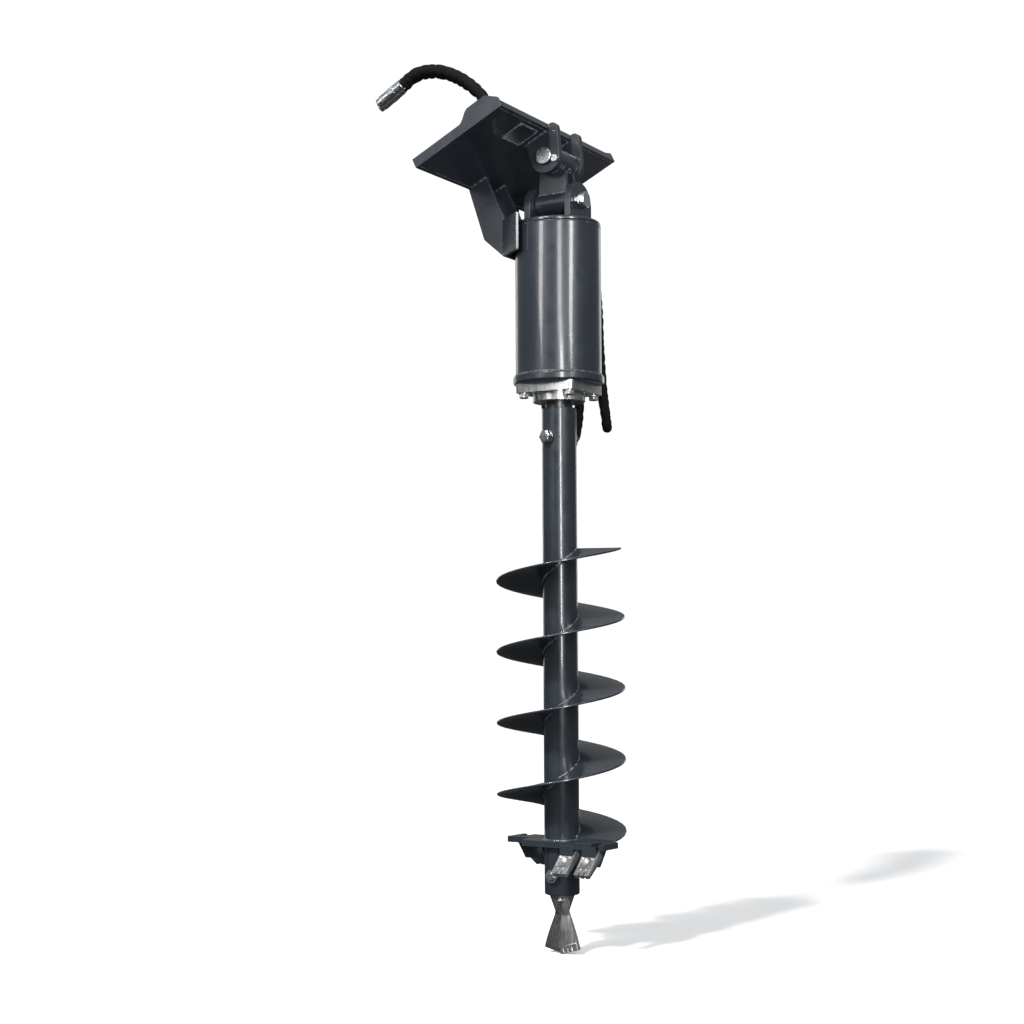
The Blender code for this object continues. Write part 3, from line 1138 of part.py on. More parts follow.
def hoses(looks, mount, swing, sway):
    heading = Vector(COUPLER_DIRECTION).normalized()
    axis = Vector((0, UPPER_PIN_Y, 0))
    outward = Vector((cos(PORT_ANGLE), sin(PORT_ANGLE), 0))
    for i, (route, drop) in enumerate(zip(HOSES, PORT_DROPS)):
        number = str(i + 1)
        port = axis + FITTING_END * outward
        port.z = UPPER_PIN_Z - PIN_SPACING + MOTOR_COVER_FOOT - drop
        approach = port + HOSE_APPROACH * outward
        hose_piece("hose_mount_" + number, route["mount"], looks, mount, -heading, (-1, 0, 0))
        hose_piece("hose_link_" + number, route["link"], looks, swing, (-1, 0, 0), (0, -1, 0))
        hose_piece("hose_drive_" + number, (*route["drive"], tuple(approach), tuple(port)), looks, sway,
                   (0, -1, 0), -outward)
        spot = Vector(route["mount"][0]) + GAP / 2 * heading
        place("hose_coupler_" + number, coupler_mesh(), looks["zinc"], mount, spot,
              heading.to_track_quat("Z", "Y").to_euler())


def build():
    clear_scene()
    looks = make_materials()
    mount = empty("mount_frame")
    plate = empty("plate_frame", mount, (0, 0, 0), (PLATE_TILT, 0, 0))
    swing = empty("swing_axis", mount, (0, UPPER_PIN_Y, UPPER_PIN_Z))
    sway = empty("sway_axis", swing, (0, 0, -PIN_SPACING))
    spin = empty("spin_axis", sway, (0, 0, TUBE_TOP))
    mount_plate(looks, plate)
    hook_lip(looks, plate)
    latch_bar(looks, plate)
    end_gussets(looks, plate)
    mount_ears(looks, plate)
    cradle_pad(looks, mount)
    cradle_gussets(looks, mount)
    swing_link(looks, swing)
    drive_ears(looks, sway)
    drive_housing(looks, sway)
    gearbox(looks, sway)
    ring_gear_case(looks, sway)
    motor(looks, sway)
    planetary(looks, spin)
    shaft_and_tube(looks, spin)
    auger_flight(looks, spin)
    head_plate(looks, spin)
    teeth(looks, spin)
    pilot_bit(looks, spin)
    bpy.context.view_layer.update()
    hoses(looks, mount, swing, sway)


build()
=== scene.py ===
import json
from math import cos, hypot, pi, radians, sin, sqrt, tan

import bmesh
import bpy
from mathutils import Matrix, Vector, noise


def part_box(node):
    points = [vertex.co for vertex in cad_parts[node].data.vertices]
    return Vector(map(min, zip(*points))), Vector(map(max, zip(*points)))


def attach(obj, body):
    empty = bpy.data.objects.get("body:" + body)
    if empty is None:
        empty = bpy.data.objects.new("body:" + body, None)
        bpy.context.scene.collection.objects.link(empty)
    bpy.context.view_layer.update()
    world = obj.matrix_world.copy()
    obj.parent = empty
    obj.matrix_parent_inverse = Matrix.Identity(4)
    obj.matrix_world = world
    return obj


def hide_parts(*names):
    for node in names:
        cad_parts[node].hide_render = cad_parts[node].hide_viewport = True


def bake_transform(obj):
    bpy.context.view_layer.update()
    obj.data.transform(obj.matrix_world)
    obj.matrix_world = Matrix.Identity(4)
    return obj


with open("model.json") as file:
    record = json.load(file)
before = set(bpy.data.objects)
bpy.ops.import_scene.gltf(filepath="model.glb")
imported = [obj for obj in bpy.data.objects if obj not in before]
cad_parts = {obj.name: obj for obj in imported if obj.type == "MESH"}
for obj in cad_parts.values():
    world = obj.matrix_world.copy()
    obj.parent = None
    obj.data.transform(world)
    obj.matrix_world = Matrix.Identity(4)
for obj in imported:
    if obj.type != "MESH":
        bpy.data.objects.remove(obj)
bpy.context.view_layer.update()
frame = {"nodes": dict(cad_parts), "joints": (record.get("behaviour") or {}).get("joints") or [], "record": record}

# Looks of the earth auger drive: painted and bare steel, welds, sleeved hoses, cast teeth and a studio.
# Metres, +Z up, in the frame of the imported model. The camera and the hoses come first.
NODES = frame["nodes"]
JOINTS = {joint["name"]: joint for joint in frame["joints"]}
SLOTS = {part["node"]: part["material_slot"] for part in frame["record"]["subparts"]}

# Places that the frame gives
UPPER_PIN = Vector(JOINTS["swing"]["pos_m"])
LOWER_PIN = Vector(JOINTS["sway"]["pos_m"])
AXIS = Vector((0, LOWER_PIN.y, 0))  # on the upright line through drive and auger, at level 0
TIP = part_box("pilot_bit")[0].z
TUBE_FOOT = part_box("auger_tube")[0].z

# Camera
CAMERA_AZIMUTH = radians(-61)
CAMERA_DISTANCE = 4.26845
CAMERA_RISE = 0.7254  # above the pilot's tip
CAMERA_PITCH = radians(4.15)
CAMERA_YAW = radians(-1.525)
CAMERA_ROLL = radians(-0.27)
SENSOR = 36
FOCAL_SHARE = 1798 / 1024  # focal length over the picture's width

# Mount plate and what stands on it
PLATE_TILT = radians(64.2)
PLATE_T = 0.012
PLATE_HALF_HEIGHT = 0.121
EAR_FACES = (0.047, 0.063)  # inner and outer face of a mount ear
EAR_ROOT = 0.058
GUSSET_FACES = (0.040, 0.050)  # inner and outer face of a cradle gusset
GUSSET_ROOT = (-0.0745, -0.119)

# End gussets
END_INNER = 0.2743  # inner face from the middle of the plate
END_T = 0.008
END_LEVELS = (-0.1303, 0.1293)  # foot and top up the plate
END_DEPTH = 0.013  # strip behind the plate's rear face
END_BUMP = 0.0235
END_BUMP_SHARES = (0.55, 0.70, 0.89)  # where the bump starts, is full and ends, up the strip
END_SWEEP_STEPS = 12

# Hoses
HOSE_R = 0.0115
HOSE_SIDES = 20
HOSE_STEP = 0.003
HOSE_EASING = 24  # rounds of smoothing, which open the tightest bends
CURVE_STEPS = 24  # steps of the curve between two points of a route
BLEND_DROP = 0.085  # drop below the link's level
BLEND_OVERLAP = 0.002
PORT_ANGLE = radians(35)
PORT_REACH = 0.118
PORT_DROPS = (0.169, 0.224)  # levels of the ports below the lower pin
PORT_APPROACH = 0.032
HOSES = (
    {
        "mount": (
        (-0.200, 0.206, 0.171), (-0.200, 0.169, 0.192), (-0.200, 0.120, 0.1935),
        (-0.200, 0.069, 0.1776), (-0.200, 0.013, 0.1417), (-0.199, -0.026, 0.100),
        (-0.190, -0.034, 0.0715), (-0.160, -0.012, 0.052), (-0.100, 0.0228, 0.0356),
        (0.000, 0.060, 0.020), (0.100, 0.0965, 0.0045), (0.170, 0.129, -0.0045),
        (0.206, 0.154, -0.030), (0.226, 0.156, -0.068), (0.238, 0.130, -0.101),
        (0.241, 0.093, -0.114), (0.229, 0.053, -0.1155), (0.205, 0.0347, -0.1155),
        (0.195, 0.0347, -0.1155)),
        "link": (
        (0.195, 0.0347, -0.1155), (0.183, 0.0347, -0.1155), (0.158, 0.020, -0.1155),
        (0.150, 0.0017, -0.1155), (0.150, -0.0103, -0.1155)),
        "drive": (
        (0.150, -0.0103, -0.1155), (0.1505, -0.026, -0.1165), (0.153, -0.058, -0.131),
        (0.151, -0.092, -0.168), (0.141, -0.120, -0.222), (0.130, -0.142, -0.292),
        (0.124, -0.152, -0.362), (0.124, -0.156, -0.462), (0.130, -0.159, -0.552),
        (0.140, -0.161, -0.610), (0.152, -0.158, -0.641), (0.170, -0.151, -0.653),
        (0.187, -0.142, -0.641), (0.197, -0.131, -0.606), (0.203, -0.110, -0.520),
        (0.203, -0.070, -0.420), (0.190, -0.030, -0.340), (0.162, -0.010, -0.300)),
    },
    {
        "mount": (
        (-0.172, 0.2215, 0.171), (-0.172, 0.1845, 0.192), (-0.172, 0.1355, 0.1935),
        (-0.172, 0.0845, 0.1776), (-0.172, 0.0285, 0.1417), (-0.171, -0.0105, 0.104),
        (-0.160, -0.026, 0.080), (-0.130, -0.022, 0.062), (-0.080, 0.000, 0.0475),
        (0.010, 0.036, 0.032), (0.110, 0.072, 0.0165), (0.190, 0.106, 0.006),
        (0.229, 0.134, -0.009), (0.246, 0.155, -0.033), (0.258, 0.158, -0.070),
        (0.265, 0.138, -0.112), (0.264, 0.098, -0.141), (0.248, 0.058, -0.1475),
        (0.224, 0.0385, -0.1475), (0.205, 0.0347, -0.1475), (0.195, 0.0347, -0.1475)),
        "link": (
        (0.195, 0.0347, -0.1475), (0.183, 0.0347, -0.1475), (0.158, 0.020, -0.1475),
        (0.150, 0.0017, -0.1475), (0.150, -0.0103, -0.1475)),
        "drive": (
        (0.150, -0.0103, -0.1475), (0.151, -0.024, -0.149), (0.154, -0.044, -0.166),
        (0.158, -0.060, -0.205), (0.159, -0.069, -0.270), (0.158, -0.075, -0.400),
        (0.157, -0.080, -0.540), (0.155, -0.080, -0.620), (0.151, -0.070, -0.675),
        (0.143, -0.054, -0.703), (0.133, -0.035, -0.703), (0.125, -0.018, -0.675),
        (0.121, -0.008, -0.610), (0.123, -0.002, -0.500), (0.131, -0.001, -0.410),
        (0.138, -0.006, -0.366)),
    },
)

# Sleeve of the hoses
FOLD_DEPTH = 0.0046
FOLD_LENGTH = 0.023
FOLD_DRIFT = 1.3  # folds by which the noise shifts them
FOLD_DRIFT_SCALE = 16
FOLD_POWER = 0.7
FOLD_MEAN = 0.62
FOLD_ABOVE = 0.45  # share of a fold's depth that the hose's upper side has
FOLD_UNEVEN = 0.8
FOLD_UNEVEN_SCALE = 24
FOLD_UNEVEN_SEED = 5
WRINKLE = 0.0005
WRINKLE_SCALE = 230
SLEEVE_SWELL = 0.0014  # most that a fold stands out
SLEEVE_SEED = 11

# Flight and head
FLIGHT_PITCH = 0.167
FLIGHT_TURNS = 4.051
FLIGHT_FOOT_ANGLE = radians(-98.5)
FLIGHT_T = 0.006
TUBE_R = 0.04125
HEAD_RISE = 0.1275
HEAD_T = 0.014
HEAD_ANGLE = radians(-93)
HEAD_LEAD = 0.060

# Teeth
TOOTH_RADII = (0.049, 0.109)
TOOTH_SLOPE = radians(45)
TOOTH_WIDTH = 0.040
TOOTH_T = 0.022
TOOTH_TIP_T = 0.012
TOOTH_LENGTH = 0.071
TOOTH_SOCKET = 0.016
TOOTH_DROP = 0.014
TOOTH_BACK = 0.003
TOOTH_FINGERS = 3
TOOTH_NOTCH = 0.011  # depth of a notch between two fingers
TOOTH_SHARP = radians(42)
RECESS_DEPTH = 0.0024
RECESS_HALF = 0.36  # share of the tooth's width, as the next value
RECESS_SIDE_FADE = 0.08
RECESS_MARGINS = (0.003, 0.019)  # left whole below the socket and above the tip
RECESS_FADE = 0.004
DIMPLE_DEPTH = 0.0040
DIMPLE_PLACE = 0.018  # middle, below the socket
DIMPLE_HALVES = (0.010, 0.014)  # across and along the tooth
GROOVE_DEPTH = 0.0065
GROOVE_LENGTH = 0.018
GROOVE_FADE = 0.006
GROOVE_HALF = 0.055  # share of the tooth's width

# Fingered castings
ACROSS_STEPS = 48
ALONG_STEPS = 72
NOTCH_HALF = 0.15  # share of a finger's width
FINGER_ROUNDING = 0.0020
SIDE_ROUNDING = 0.0012
SIDE_START = 0.47  # share of the width from which the sides round off
SIDE_FADE = 0.03

# Welds
WELD_SIZES = {
    "weld_ears": 0.0036, "weld_cradle": 0.0036, "weld_plate_edges": 0.0011,
    "weld_link_lower": 0.0026, "weld_link_upper": 0.0024, "weld_drive_ears": 0.0032,
    "weld_ring": 0.0026, "weld_top_plate": 0.0011, "weld_flight": 0.0026, "weld_head": 0.0028,
}
WELD_SIDES = 10
WELD_STEP = 0.0012
WELD_RIPPLE = 0.0042  # length of one ripple along a bead
WELD_RIPPLE_DEPTH = 0.20
WELD_RIPPLE_POWER = 0.6
WELD_DRIFT = 0.14
WELD_DRIFT_SCALE = 70
WELD_SEED = 3
EAR_WELD_INSET = 0.001
PAD_WELD_INSETS = (0.003, 0.002)  # from the pad's foot and top
DRIVE_EAR_WELD_INSET = 0.002
RING_WELD_PROUD = 0.0005
TOP_WELD_SUNK = 0.0006
LINK_ARC = (radians(-150), radians(120))  # start and turn of the fillet on the upper tube
LINK_ARC_STEPS = 12
HOUSING_SIDES = 240
TUBE_SIDES = 120
HELIX_STEPS = 90  # a turn

# Nameplate without words
BADGE_PLACE = (-0.123, 0.080)  # across and up the plate
BADGE_SIZE = (0.082, 0.062)
BADGE_CORNER = 0.004
BADGE_CORNER_STEPS = 5
BADGE_T = 0.0016
BADGE_CREST = 1.3 * BADGE_T  # height of the rim
BADGE_FIELD = 0.7 * BADGE_T  # height inside the rim
BADGE_RIM = 0.0045
RIVET_R = 0.0021
RIVET_H = 0.6 * RIVET_R
RIVET_INSET = 1.9 * BADGE_RIM
RIVET_RINGS = 4
RIVET_SIDES = 16

# Pilot bit
PILOT_ANGLE = radians(-88)
PILOT_TWIST = radians(34)
PILOT_BAR_TOP = 0.012  # drops below the tube's lower end
PILOT_WAIST = 0.046
PILOT_REACH = 0.137
PILOT_CONE = (  # drop and radius of the shank's rings
    (-0.004, 0.0300), (0.0015, 0.0300), (0.0035, 0.0290), (0.046, 0.0140), (0.090, 0.0080), (0.115, 0.0030),
)
PILOT_HALVES = (0.0135, 0.0175, 0.0465)  # half width at the bar's top, the waist and the tip
PILOT_DEPTHS = (0.0310, 0.0190, 0.0082)  # ridge off the axis at the same three levels
PILOT_STEPS_BACK = (0.0006, 0.0040, 0.0072)  # how far the other blade's face lies behind the ridge
PILOT_RIDGE = 0.0022
PILOT_CORNER_RISE = 0.012
PILOT_GROOVE = 0.0013
PILOT_GROOVES = 5
PILOT_ROWS = 60
PILOT_SIDE_STEPS = 4
PILOT_FACE_STEPS = 30
PILOT_BACK_STEPS = 14
PILOT_SHARP = radians(28)
CONE_SIDES = 64
INSERT_WIDTH = PILOT_HALVES[2] - 0.001
INSERT_LENGTH = 0.019
INSERT_PAST = 0.0004  # past the blade's tip
INSERT_T = 0.0075
INSERT_PROUD = 0.0014
INSERT_FINGERS = 4
INSERT_NOTCH = 0.008
INSERT_SHARP = radians(40)
LEDGE_DEPTH = 0.0014
LEDGE_LENGTH = 0.0030
CLAW_DEPTH = 0.0045
CLAW_START = 0.0055
CLAW_FADE = 0.004
CLAW_HALF = 0.045  # share of the strip's width

# Studio
FLOOR_HALF = 60
FLOOR_GAP = 0.0006
FLOOR_COLOUR = (0.95, 0.95, 0.95)
FLOOR_GLOW = 0.16
FLOOR_ROUGHNESS = 0.9
SUN_TURN = radians(-35)
SUN_RISE = radians(40)
SUN_ANGLE = radians(6)
SUN_POWER = 3.4
ROOM_SPAN = (-0.4, 0.9)  # upward share of a direction, between which the room gets lighter
ROOM_LIGHT = (0.04, 0.36)
ROOM_COLOUR = (0.94, 0.97, 1.0, 1)
BACKDROP = 1.05
STRIPS = (  # name, degrees from the camera, middle above the tip, distance, size, lean in degrees, watts
    ("strip_left", -43, 2.62, 3.0, (0.50, 1.45), -25, 36),
    ("strip_right", 37, 2.55, 3.0, (0.42, 1.45), -25, 46),
    ("strip_high", 4, 2.75, 4.8, (0.80, 1.1), -15, 36),
    ("strip_low", 8, 0.90, 4.8, (0.60, 2.6), 0, 150),
    ("fill_left", -152, 1.7, 4.5, (1.8, 2.8), 0, 18),
    ("fill_right", 152, 1.7, 4.5, (1.8, 2.8), 0, 18),
)

# Finish
MERGE_DISTANCE = 0.00001
EDGE_ANGLE = radians(35)
EDGE_WIDTH = 0.0014
INSIDE = ("sun_gear_shaft", "planet_gear", "planet_carrier", "ring_gear_case", "motor_", "output_bearing_cup")
PAINT = (0.0150, 0.0195, 0.0258)
USUAL = (0.3, 0.7)  # span of a noise's values that most looks use


# Camera
def make_camera():
    across = Vector((cos(CAMERA_AZIMUTH), sin(CAMERA_AZIMUTH), 0))
    away = towards(CAMERA_AZIMUTH)
    up = Vector((0, 0, 1))
    right = across * cos(CAMERA_YAW) + away * sin(CAMERA_YAW)
    level_back = away * cos(CAMERA_YAW) - across * sin(CAMERA_YAW)
    back = level_back * cos(CAMERA_PITCH) - up * sin(CAMERA_PITCH)
    top = up * cos(CAMERA_PITCH) + level_back * sin(CAMERA_PITCH)
    rolled_right = right * cos(CAMERA_ROLL) + top * sin(CAMERA_ROLL)
    rolled_top = top * cos(CAMERA_ROLL) - right * sin(CAMERA_ROLL)
    spot = away * CAMERA_DISTANCE + AXIS + Vector((0, 0, TIP + CAMERA_RISE))
    data = bpy.data.cameras.new("camera")
    data.sensor_width = SENSOR
    data.lens = SENSOR * FOCAL_SHARE
    camera = bpy.data.objects.new("camera", data)
    bpy.context.scene.collection.objects.link(camera)
    turn = Matrix((rolled_right, rolled_top, back)).transposed()
    camera.matrix_world = Matrix.Translation(spot) @ turn.to_4x4()
    bpy.context.scene.camera = camera


# Helpers
def towards(azimuth):
    """Level direction from the object to a camera at an azimuth."""
    return Vector((sin(azimuth), -cos(azimuth), 0))


def clamp(value):
    return min(1.0, max(0.0, value))


def hill(value):
    """Parabola that is 1 at 0 and 0 from 1 on."""
    return max(0.0, 1 - value ** 2)


def add_object(name, mesh, look, body=None, sharp=None):
    """Smooth piece, riding on a body if one is given; edges over the angle sharp stay hard."""
    made = bpy.data.objects.new(name, mesh)
    bpy.context.scene.collection.objects.link(made)
    mesh.materials.append(look)
    mesh.shade_smooth()
    if sharp is not None:
        mesh.set_sharp_from_angle(angle=sharp)
    if body is not None:
        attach(made, body)
    return made


def to_mesh(bm, name):
    bmesh.ops.recalc_face_normals(bm, faces=bm.faces)
    mesh = bpy.data.meshes.new(name)
    bm.to_mesh(mesh)
    bm.free()
    return mesh


def add_skin(bm, rings, closed=False):
    """Quads over rings of points, with a cap at each end unless the last ring joins the first."""
    rows = [[bm.verts.new(point) for point in ring] for ring in rings]
    pairs = list(zip(rows, rows[1:]))
    if closed:
        pairs.append((rows[-1], rows[0]))
    for low, high in pairs:
        for i in range(len(low)):
            j = (i + 1) % len(low)
            bm.faces.new((low[i], low[j], high[j], high[i]))
    if not closed:
        bm.faces.new(rows[0])
        bm.faces.new(rows[-1])


def add_tube(bm, line, radius, sides, closed=False):
    """Skin round the line; radius gives its reach from the length so far, the direction and the place."""
    count = len(line)
    side = (line[1] - line[0]).normalized().orthogonal().normalized()
    so_far = 0.0
    rings = []
    for i, point in enumerate(line):
        if closed:
            ahead = line[(i + 1) % count] - line[i - 1]
        else:
            ahead = line[min(i + 1, count - 1)] - line[max(i - 1, 0)]
        ahead.normalize()
        side = (side - ahead * side.dot(ahead)).normalized()
        other = ahead.cross(side)
        if i:
            so_far += (point - line[i - 1]).length
        spokes = [side * cos(turn) + other * sin(turn) for turn in even_turns(sides)]
        rings.append([point + spoke * radius(so_far, spoke, point) for spoke in spokes])
    add_skin(bm, rings, closed)


def even_turns(count):
    """Angles of even steps round a circle."""
    return [2 * pi * i / count for i in range(count)]


def even_steps(line, step):
    """The line's points again, evenly spaced."""
    lengths = [0.0]
    for a, b in zip(line, line[1:]):
        lengths.append(lengths[-1] + (b - a).length)
    count = max(2, round(lengths[-1] / step))
    made = []
    k = 0
    for i in range(count + 1):
        reach = lengths[-1] * i / count
        while k < len(line) - 2 and lengths[k + 1] < reach:
            k += 1
        share = (reach - lengths[k]) / max(lengths[k + 1] - lengths[k], 1e-9)
        made.append(line[k].lerp(line[k + 1], share))
    return made


def smooth_route(points):
    """Centripetal curve through the points."""
    ends = [2 * points[0] - points[1], *points, 2 * points[-1] - points[-2]]
    line = [points[0]]
    for p0, p1, p2, p3 in zip(ends, ends[1:], ends[2:], ends[3:]):
        knots = [0.0]
        for a, b in ((p0, p1), (p1, p2), (p2, p3)):
            knots.append(knots[-1] + sqrt((b - a).length))
        for i in range(1, CURVE_STEPS + 1):
            t = knots[1] + (knots[2] - knots[1]) * i / CURVE_STEPS
            a1 = (p0 * (knots[1] - t) + p1 * t) / knots[1]
            a2 = (p1 * (knots[2] - t) + p2 * (t - knots[1])) / (knots[2] - knots[1])
            a3 = (p2 * (knots[3] - t) + p3 * (t - knots[2])) / (knots[3] - knots[2])
            b1 = (a1 * (knots[2] - t) + a2 * t) / knots[2]
            b2 = (a2 * (knots[3] - t) + a3 * (t - knots[1])) / (knots[3] - knots[1])
            line.append((b1 * (knots[2] - t) + b2 * (t - knots[1])) / (knots[2] - knots[1]))
    return line


def circle(level, radius, sides):
    """Points round the axis at a level."""
    return [AXIS + Vector((radius * cos(a), radius * sin(a), level)) for a in even_turns(sides)]


def plate_point(x, back, up):
    """World place given across, behind and up the mount plate."""
    y = back * cos(PLATE_TILT) - up * sin(PLATE_TILT)
    z = back * sin(PLATE_TILT) + up * cos(PLATE_TILT)
    return Vector((x, y, z))


# Hoses
def hose_line(route, drop):
    """The whole hose from its coupler to its port, and the number of the point in the middle of the link."""
    outward = Vector((cos(PORT_ANGLE), sin(PORT_ANGLE), 0))
    port = Vector((0, LOWER_PIN.y, LOWER_PIN.z - drop)) + PORT_REACH * outward
    points = [Vector(p) for p in (*route["mount"], *route["link"][1:], *route["drive"][1:])]
    line = even_steps(smooth_route([*points, port + PORT_APPROACH * outward, port]), HOSE_STEP)
    for _ in range(HOSE_EASING):
        eased = [(a + 2 * b + c) / 4 for a, b, c in zip(line, line[1:], line[2:])]
        line = [line[0], *eased, line[-1]]
    middle = Vector(route["link"][2])
    split = min(range(len(line)), key=lambda i: (line[i] - middle).length)
    return line, split


def sleeve_radius(seed):
    """Bunched textile sleeve: uneven folds along the hose, deepest on its underside, and a fine wrinkle."""
    def radius(so_far, outward, point):
        drift = noise.noise(Vector((so_far * FOLD_DRIFT_SCALE, seed, 0)))
        fold = abs(sin(pi * (so_far / FOLD_LENGTH + FOLD_DRIFT * drift))) ** FOLD_POWER - FOLD_MEAN
        below = FOLD_ABOVE + (1 - FOLD_ABOVE) * max(0.0, -outward.z)
        patch = noise.noise(Vector((so_far * FOLD_UNEVEN_SCALE, seed + FOLD_UNEVEN_SEED, outward.x)))
        uneven = FOLD_UNEVEN + FOLD_UNEVEN * patch
        fine = noise.noise(point * WRINKLE_SCALE + Vector((seed, 0, 0)))
        return HOSE_R + min(SLEEVE_SWELL, FOLD_DEPTH * fold * below * uneven + WRINKLE * fine)
    return radius


def make_hoses(looks):
    """Two pieces a hose, split in the middle of the link: the lower one runs down to the drive's port, the upper
    one back to the mount frame.
    """
    for number, (route, drop) in enumerate(zip(HOSES, PORT_DROPS), 1):
        line, split = hose_line(route, drop)
        level = route["link"][0][2]
        for name, path, bodies, start, end, nodes, far_end, on_it in (
                ("hose_lower", line[:split - 1:-1], ("swing_link", "drive"), level, level - BLEND_DROP,
                 ("hose_drive_",), "object", ()),
                ("hose_upper", line[split::-1], ("mount_frame", "swing_link"), 0.0, level + BLEND_OVERLAP,
                 ("hose_mount_", "hose_link_"), "connector", (f"hose_coupler_{number}",))):
            bm = bmesh.new()
            add_tube(bm, path, sleeve_radius(SLEEVE_SEED * number), HOSE_SIDES)
            piece = add_object(f"{name}_{number}", to_mesh(bm, name), looks["black_sleeve"])
            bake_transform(piece)
            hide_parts(*(node + str(number) for node in nodes))


# Materials
def map_range(tree, source, span, start, end):
    """The source's span of values becomes start to end."""
    node = tree.nodes.new("ShaderNodeMapRange")
    for socket, value in zip(("From Min", "From Max", "To Min", "To Max"), (*span, start, end)):
        node.inputs[socket].default_value = value
    tree.links.new(source, node.inputs["Value"])
    return node.outputs["Result"]


class Shader:
    """Principled material whose colour, roughness and bump come from its own nodes."""

    def __init__(self, name, colour, roughness, metallic=0.0, **sockets):
        self.material = bpy.data.materials.new(name)
        self.material.use_nodes = True
        self.material.diffuse_color = (*colour, 1)
        self.nodes = self.material.node_tree.nodes
        self.links = self.material.node_tree.links
        self.shader = self.nodes["Principled BSDF"]
        self.shader.inputs["Base Color"].default_value = (*colour, 1)
        self.shader.inputs["Roughness"].default_value = roughness
        self.shader.inputs["Metallic"].default_value = metallic
        for socket, value in sockets.items():
            self.shader.inputs[socket.replace("_", " ")].default_value = value
        self.place = self.nodes.new("ShaderNodeTexCoord").outputs["Object"]

    def stretched(self, stretch):
        """Object coordinates, scaled for each axis."""
        mapping = self.nodes.new("ShaderNodeMapping")
        mapping.inputs["Scale"].default_value = stretch
        self.links.new(self.place, mapping.inputs["Vector"])
        return mapping.outputs["Vector"]

    def noise(self, scale, detail=4, stretch=(1, 1, 1), distortion=0.0):
        texture = self.nodes.new("ShaderNodeTexNoise")
        texture.inputs["Scale"].default_value = scale
        texture.inputs["Detail"].default_value = detail
        texture.inputs["Distortion"].default_value = distortion
        self.links.new(self.stretched(stretch), texture.inputs["Vector"])
        return texture.outputs["Fac"]

    def cells(self, scale):
        texture = self.nodes.new("ShaderNodeTexVoronoi")
        texture.inputs["Scale"].default_value = scale
        self.links.new(self.stretched((1, 1, 1)), texture.inputs["Vector"])
        return texture.outputs["Distance"]

    def ramp(self, source, span, start, end):
        return map_range(self.material.node_tree, source, span, start, end)

    def mix(self, source, span, first, second, most=1):
        """Goes over the source's span from the first colour to the second, or to the share most of it."""
        node = self.nodes.new("ShaderNodeMix")
        node.data_type = "RGBA"
        self.links.new(self.ramp(source, span, 0, most), node.inputs["Factor"])
        for socket, value in ((node.inputs[6], first), (node.inputs[7], second)):
            if isinstance(value, bpy.types.NodeSocket):
                self.links.new(value, socket)
            else:
                socket.default_value = (*value, 1)
        return node.outputs[2]

    def colour(self, source, span, first, second, most=1):
        self.links.new(self.mix(source, span, first, second, most), self.shader.inputs["Base Color"])

    def roughness(self, source, span, start, end):
        self.links.new(self.ramp(source, span, start, end), self.shader.inputs["Roughness"])

    def with_bump(self, *layers):
        """The finished material, with stacked layers of (height socket, depth in metres)."""
        last = None
        for height, depth in layers:
            node = self.nodes.new("ShaderNodeBump")
            node.inputs["Strength"].default_value = 1.0
            node.inputs["Distance"].default_value = depth
            self.links.new(height, node.inputs["Height"])
            if last is not None:
                self.links.new(last, node.inputs["Normal"])
            last = node.outputs["Normal"]
        self.links.new(last, self.shader.inputs["Normal"])
        return self.material

    def edges(self, radius, span):
        """Share that rises along edges: a painted sheen on the paint, wear on the forged steel."""
        bevel = self.nodes.new("ShaderNodeBevel")
        bevel.samples = 4
        bevel.inputs["Radius"].default_value = radius
        surface = self.nodes.new("ShaderNodeNewGeometry")
        dot = self.nodes.new("ShaderNodeVectorMath")
        dot.operation = "DOT_PRODUCT"
        self.links.new(bevel.outputs["Normal"], dot.inputs[0])
        self.links.new(surface.outputs["Normal"], dot.inputs[1])
        return self.ramp(dot.outputs["Value"], span, 1.0, 0.0)


def shade(colour, share):
    return tuple(share * c for c in colour)


def paint_look():
    """Semi-gloss charcoal enamel with faint orange peel, dust, and lighter edges that are a painted sheen."""
    look = Shader("charcoal_paint", PAINT, 0.30, Coat_Weight=0.5, Coat_Roughness=0.10,
                  Specular_IOR_Level=0.45)
    cloud = look.noise(5)
    tint = look.mix(cloud, (0.35, 0.68), shade(PAINT, 0.84), shade(PAINT, 1.22))
    # Lighter edges: a painted sheen along the edges, mixed into the base colour.
    look.colour(look.edges(0.0014, (0.72, 0.97)), (0, 1), tint, (0.15, 0.165, 0.18), most=0.35)
    smudge = look.noise(22, detail=5, distortion=0.4)
    look.roughness(smudge, USUAL, 0.25, 0.39)
    return look.with_bump((look.noise(430, detail=2), 0.00003), (look.noise(60, detail=2), 0.00003))


def weld_look():
    """Painted weld: the same enamel, thinner on the crests."""
    look = Shader("painted_weld", PAINT, 0.36, Coat_Weight=0.4, Coat_Roughness=0.15)
    grain = look.noise(180)
    look.colour(grain, (0.4, 0.72), shade(PAINT, 0.85), (0.20, 0.21, 0.225), most=0.8)
    look.roughness(grain, USUAL, 0.24, 0.42)
    return look.with_bump((look.noise(520, detail=3), 0.00012))


def zinc_look():
    """Bright zinc with spangle cells and fine scratches."""
    look = Shader("zinc_plate", (0.62, 0.64, 0.66), 0.30, metallic=1.0)
    spangle = look.cells(scale=330)
    look.colour(spangle, (0.1, 0.7), (0.78, 0.79, 0.80), (0.52, 0.54, 0.56))
    look.roughness(look.noise(240, detail=3), USUAL, 0.20, 0.42)
    return look.with_bump((spangle, 0.00003), (look.noise(500, detail=2), 0.00002))


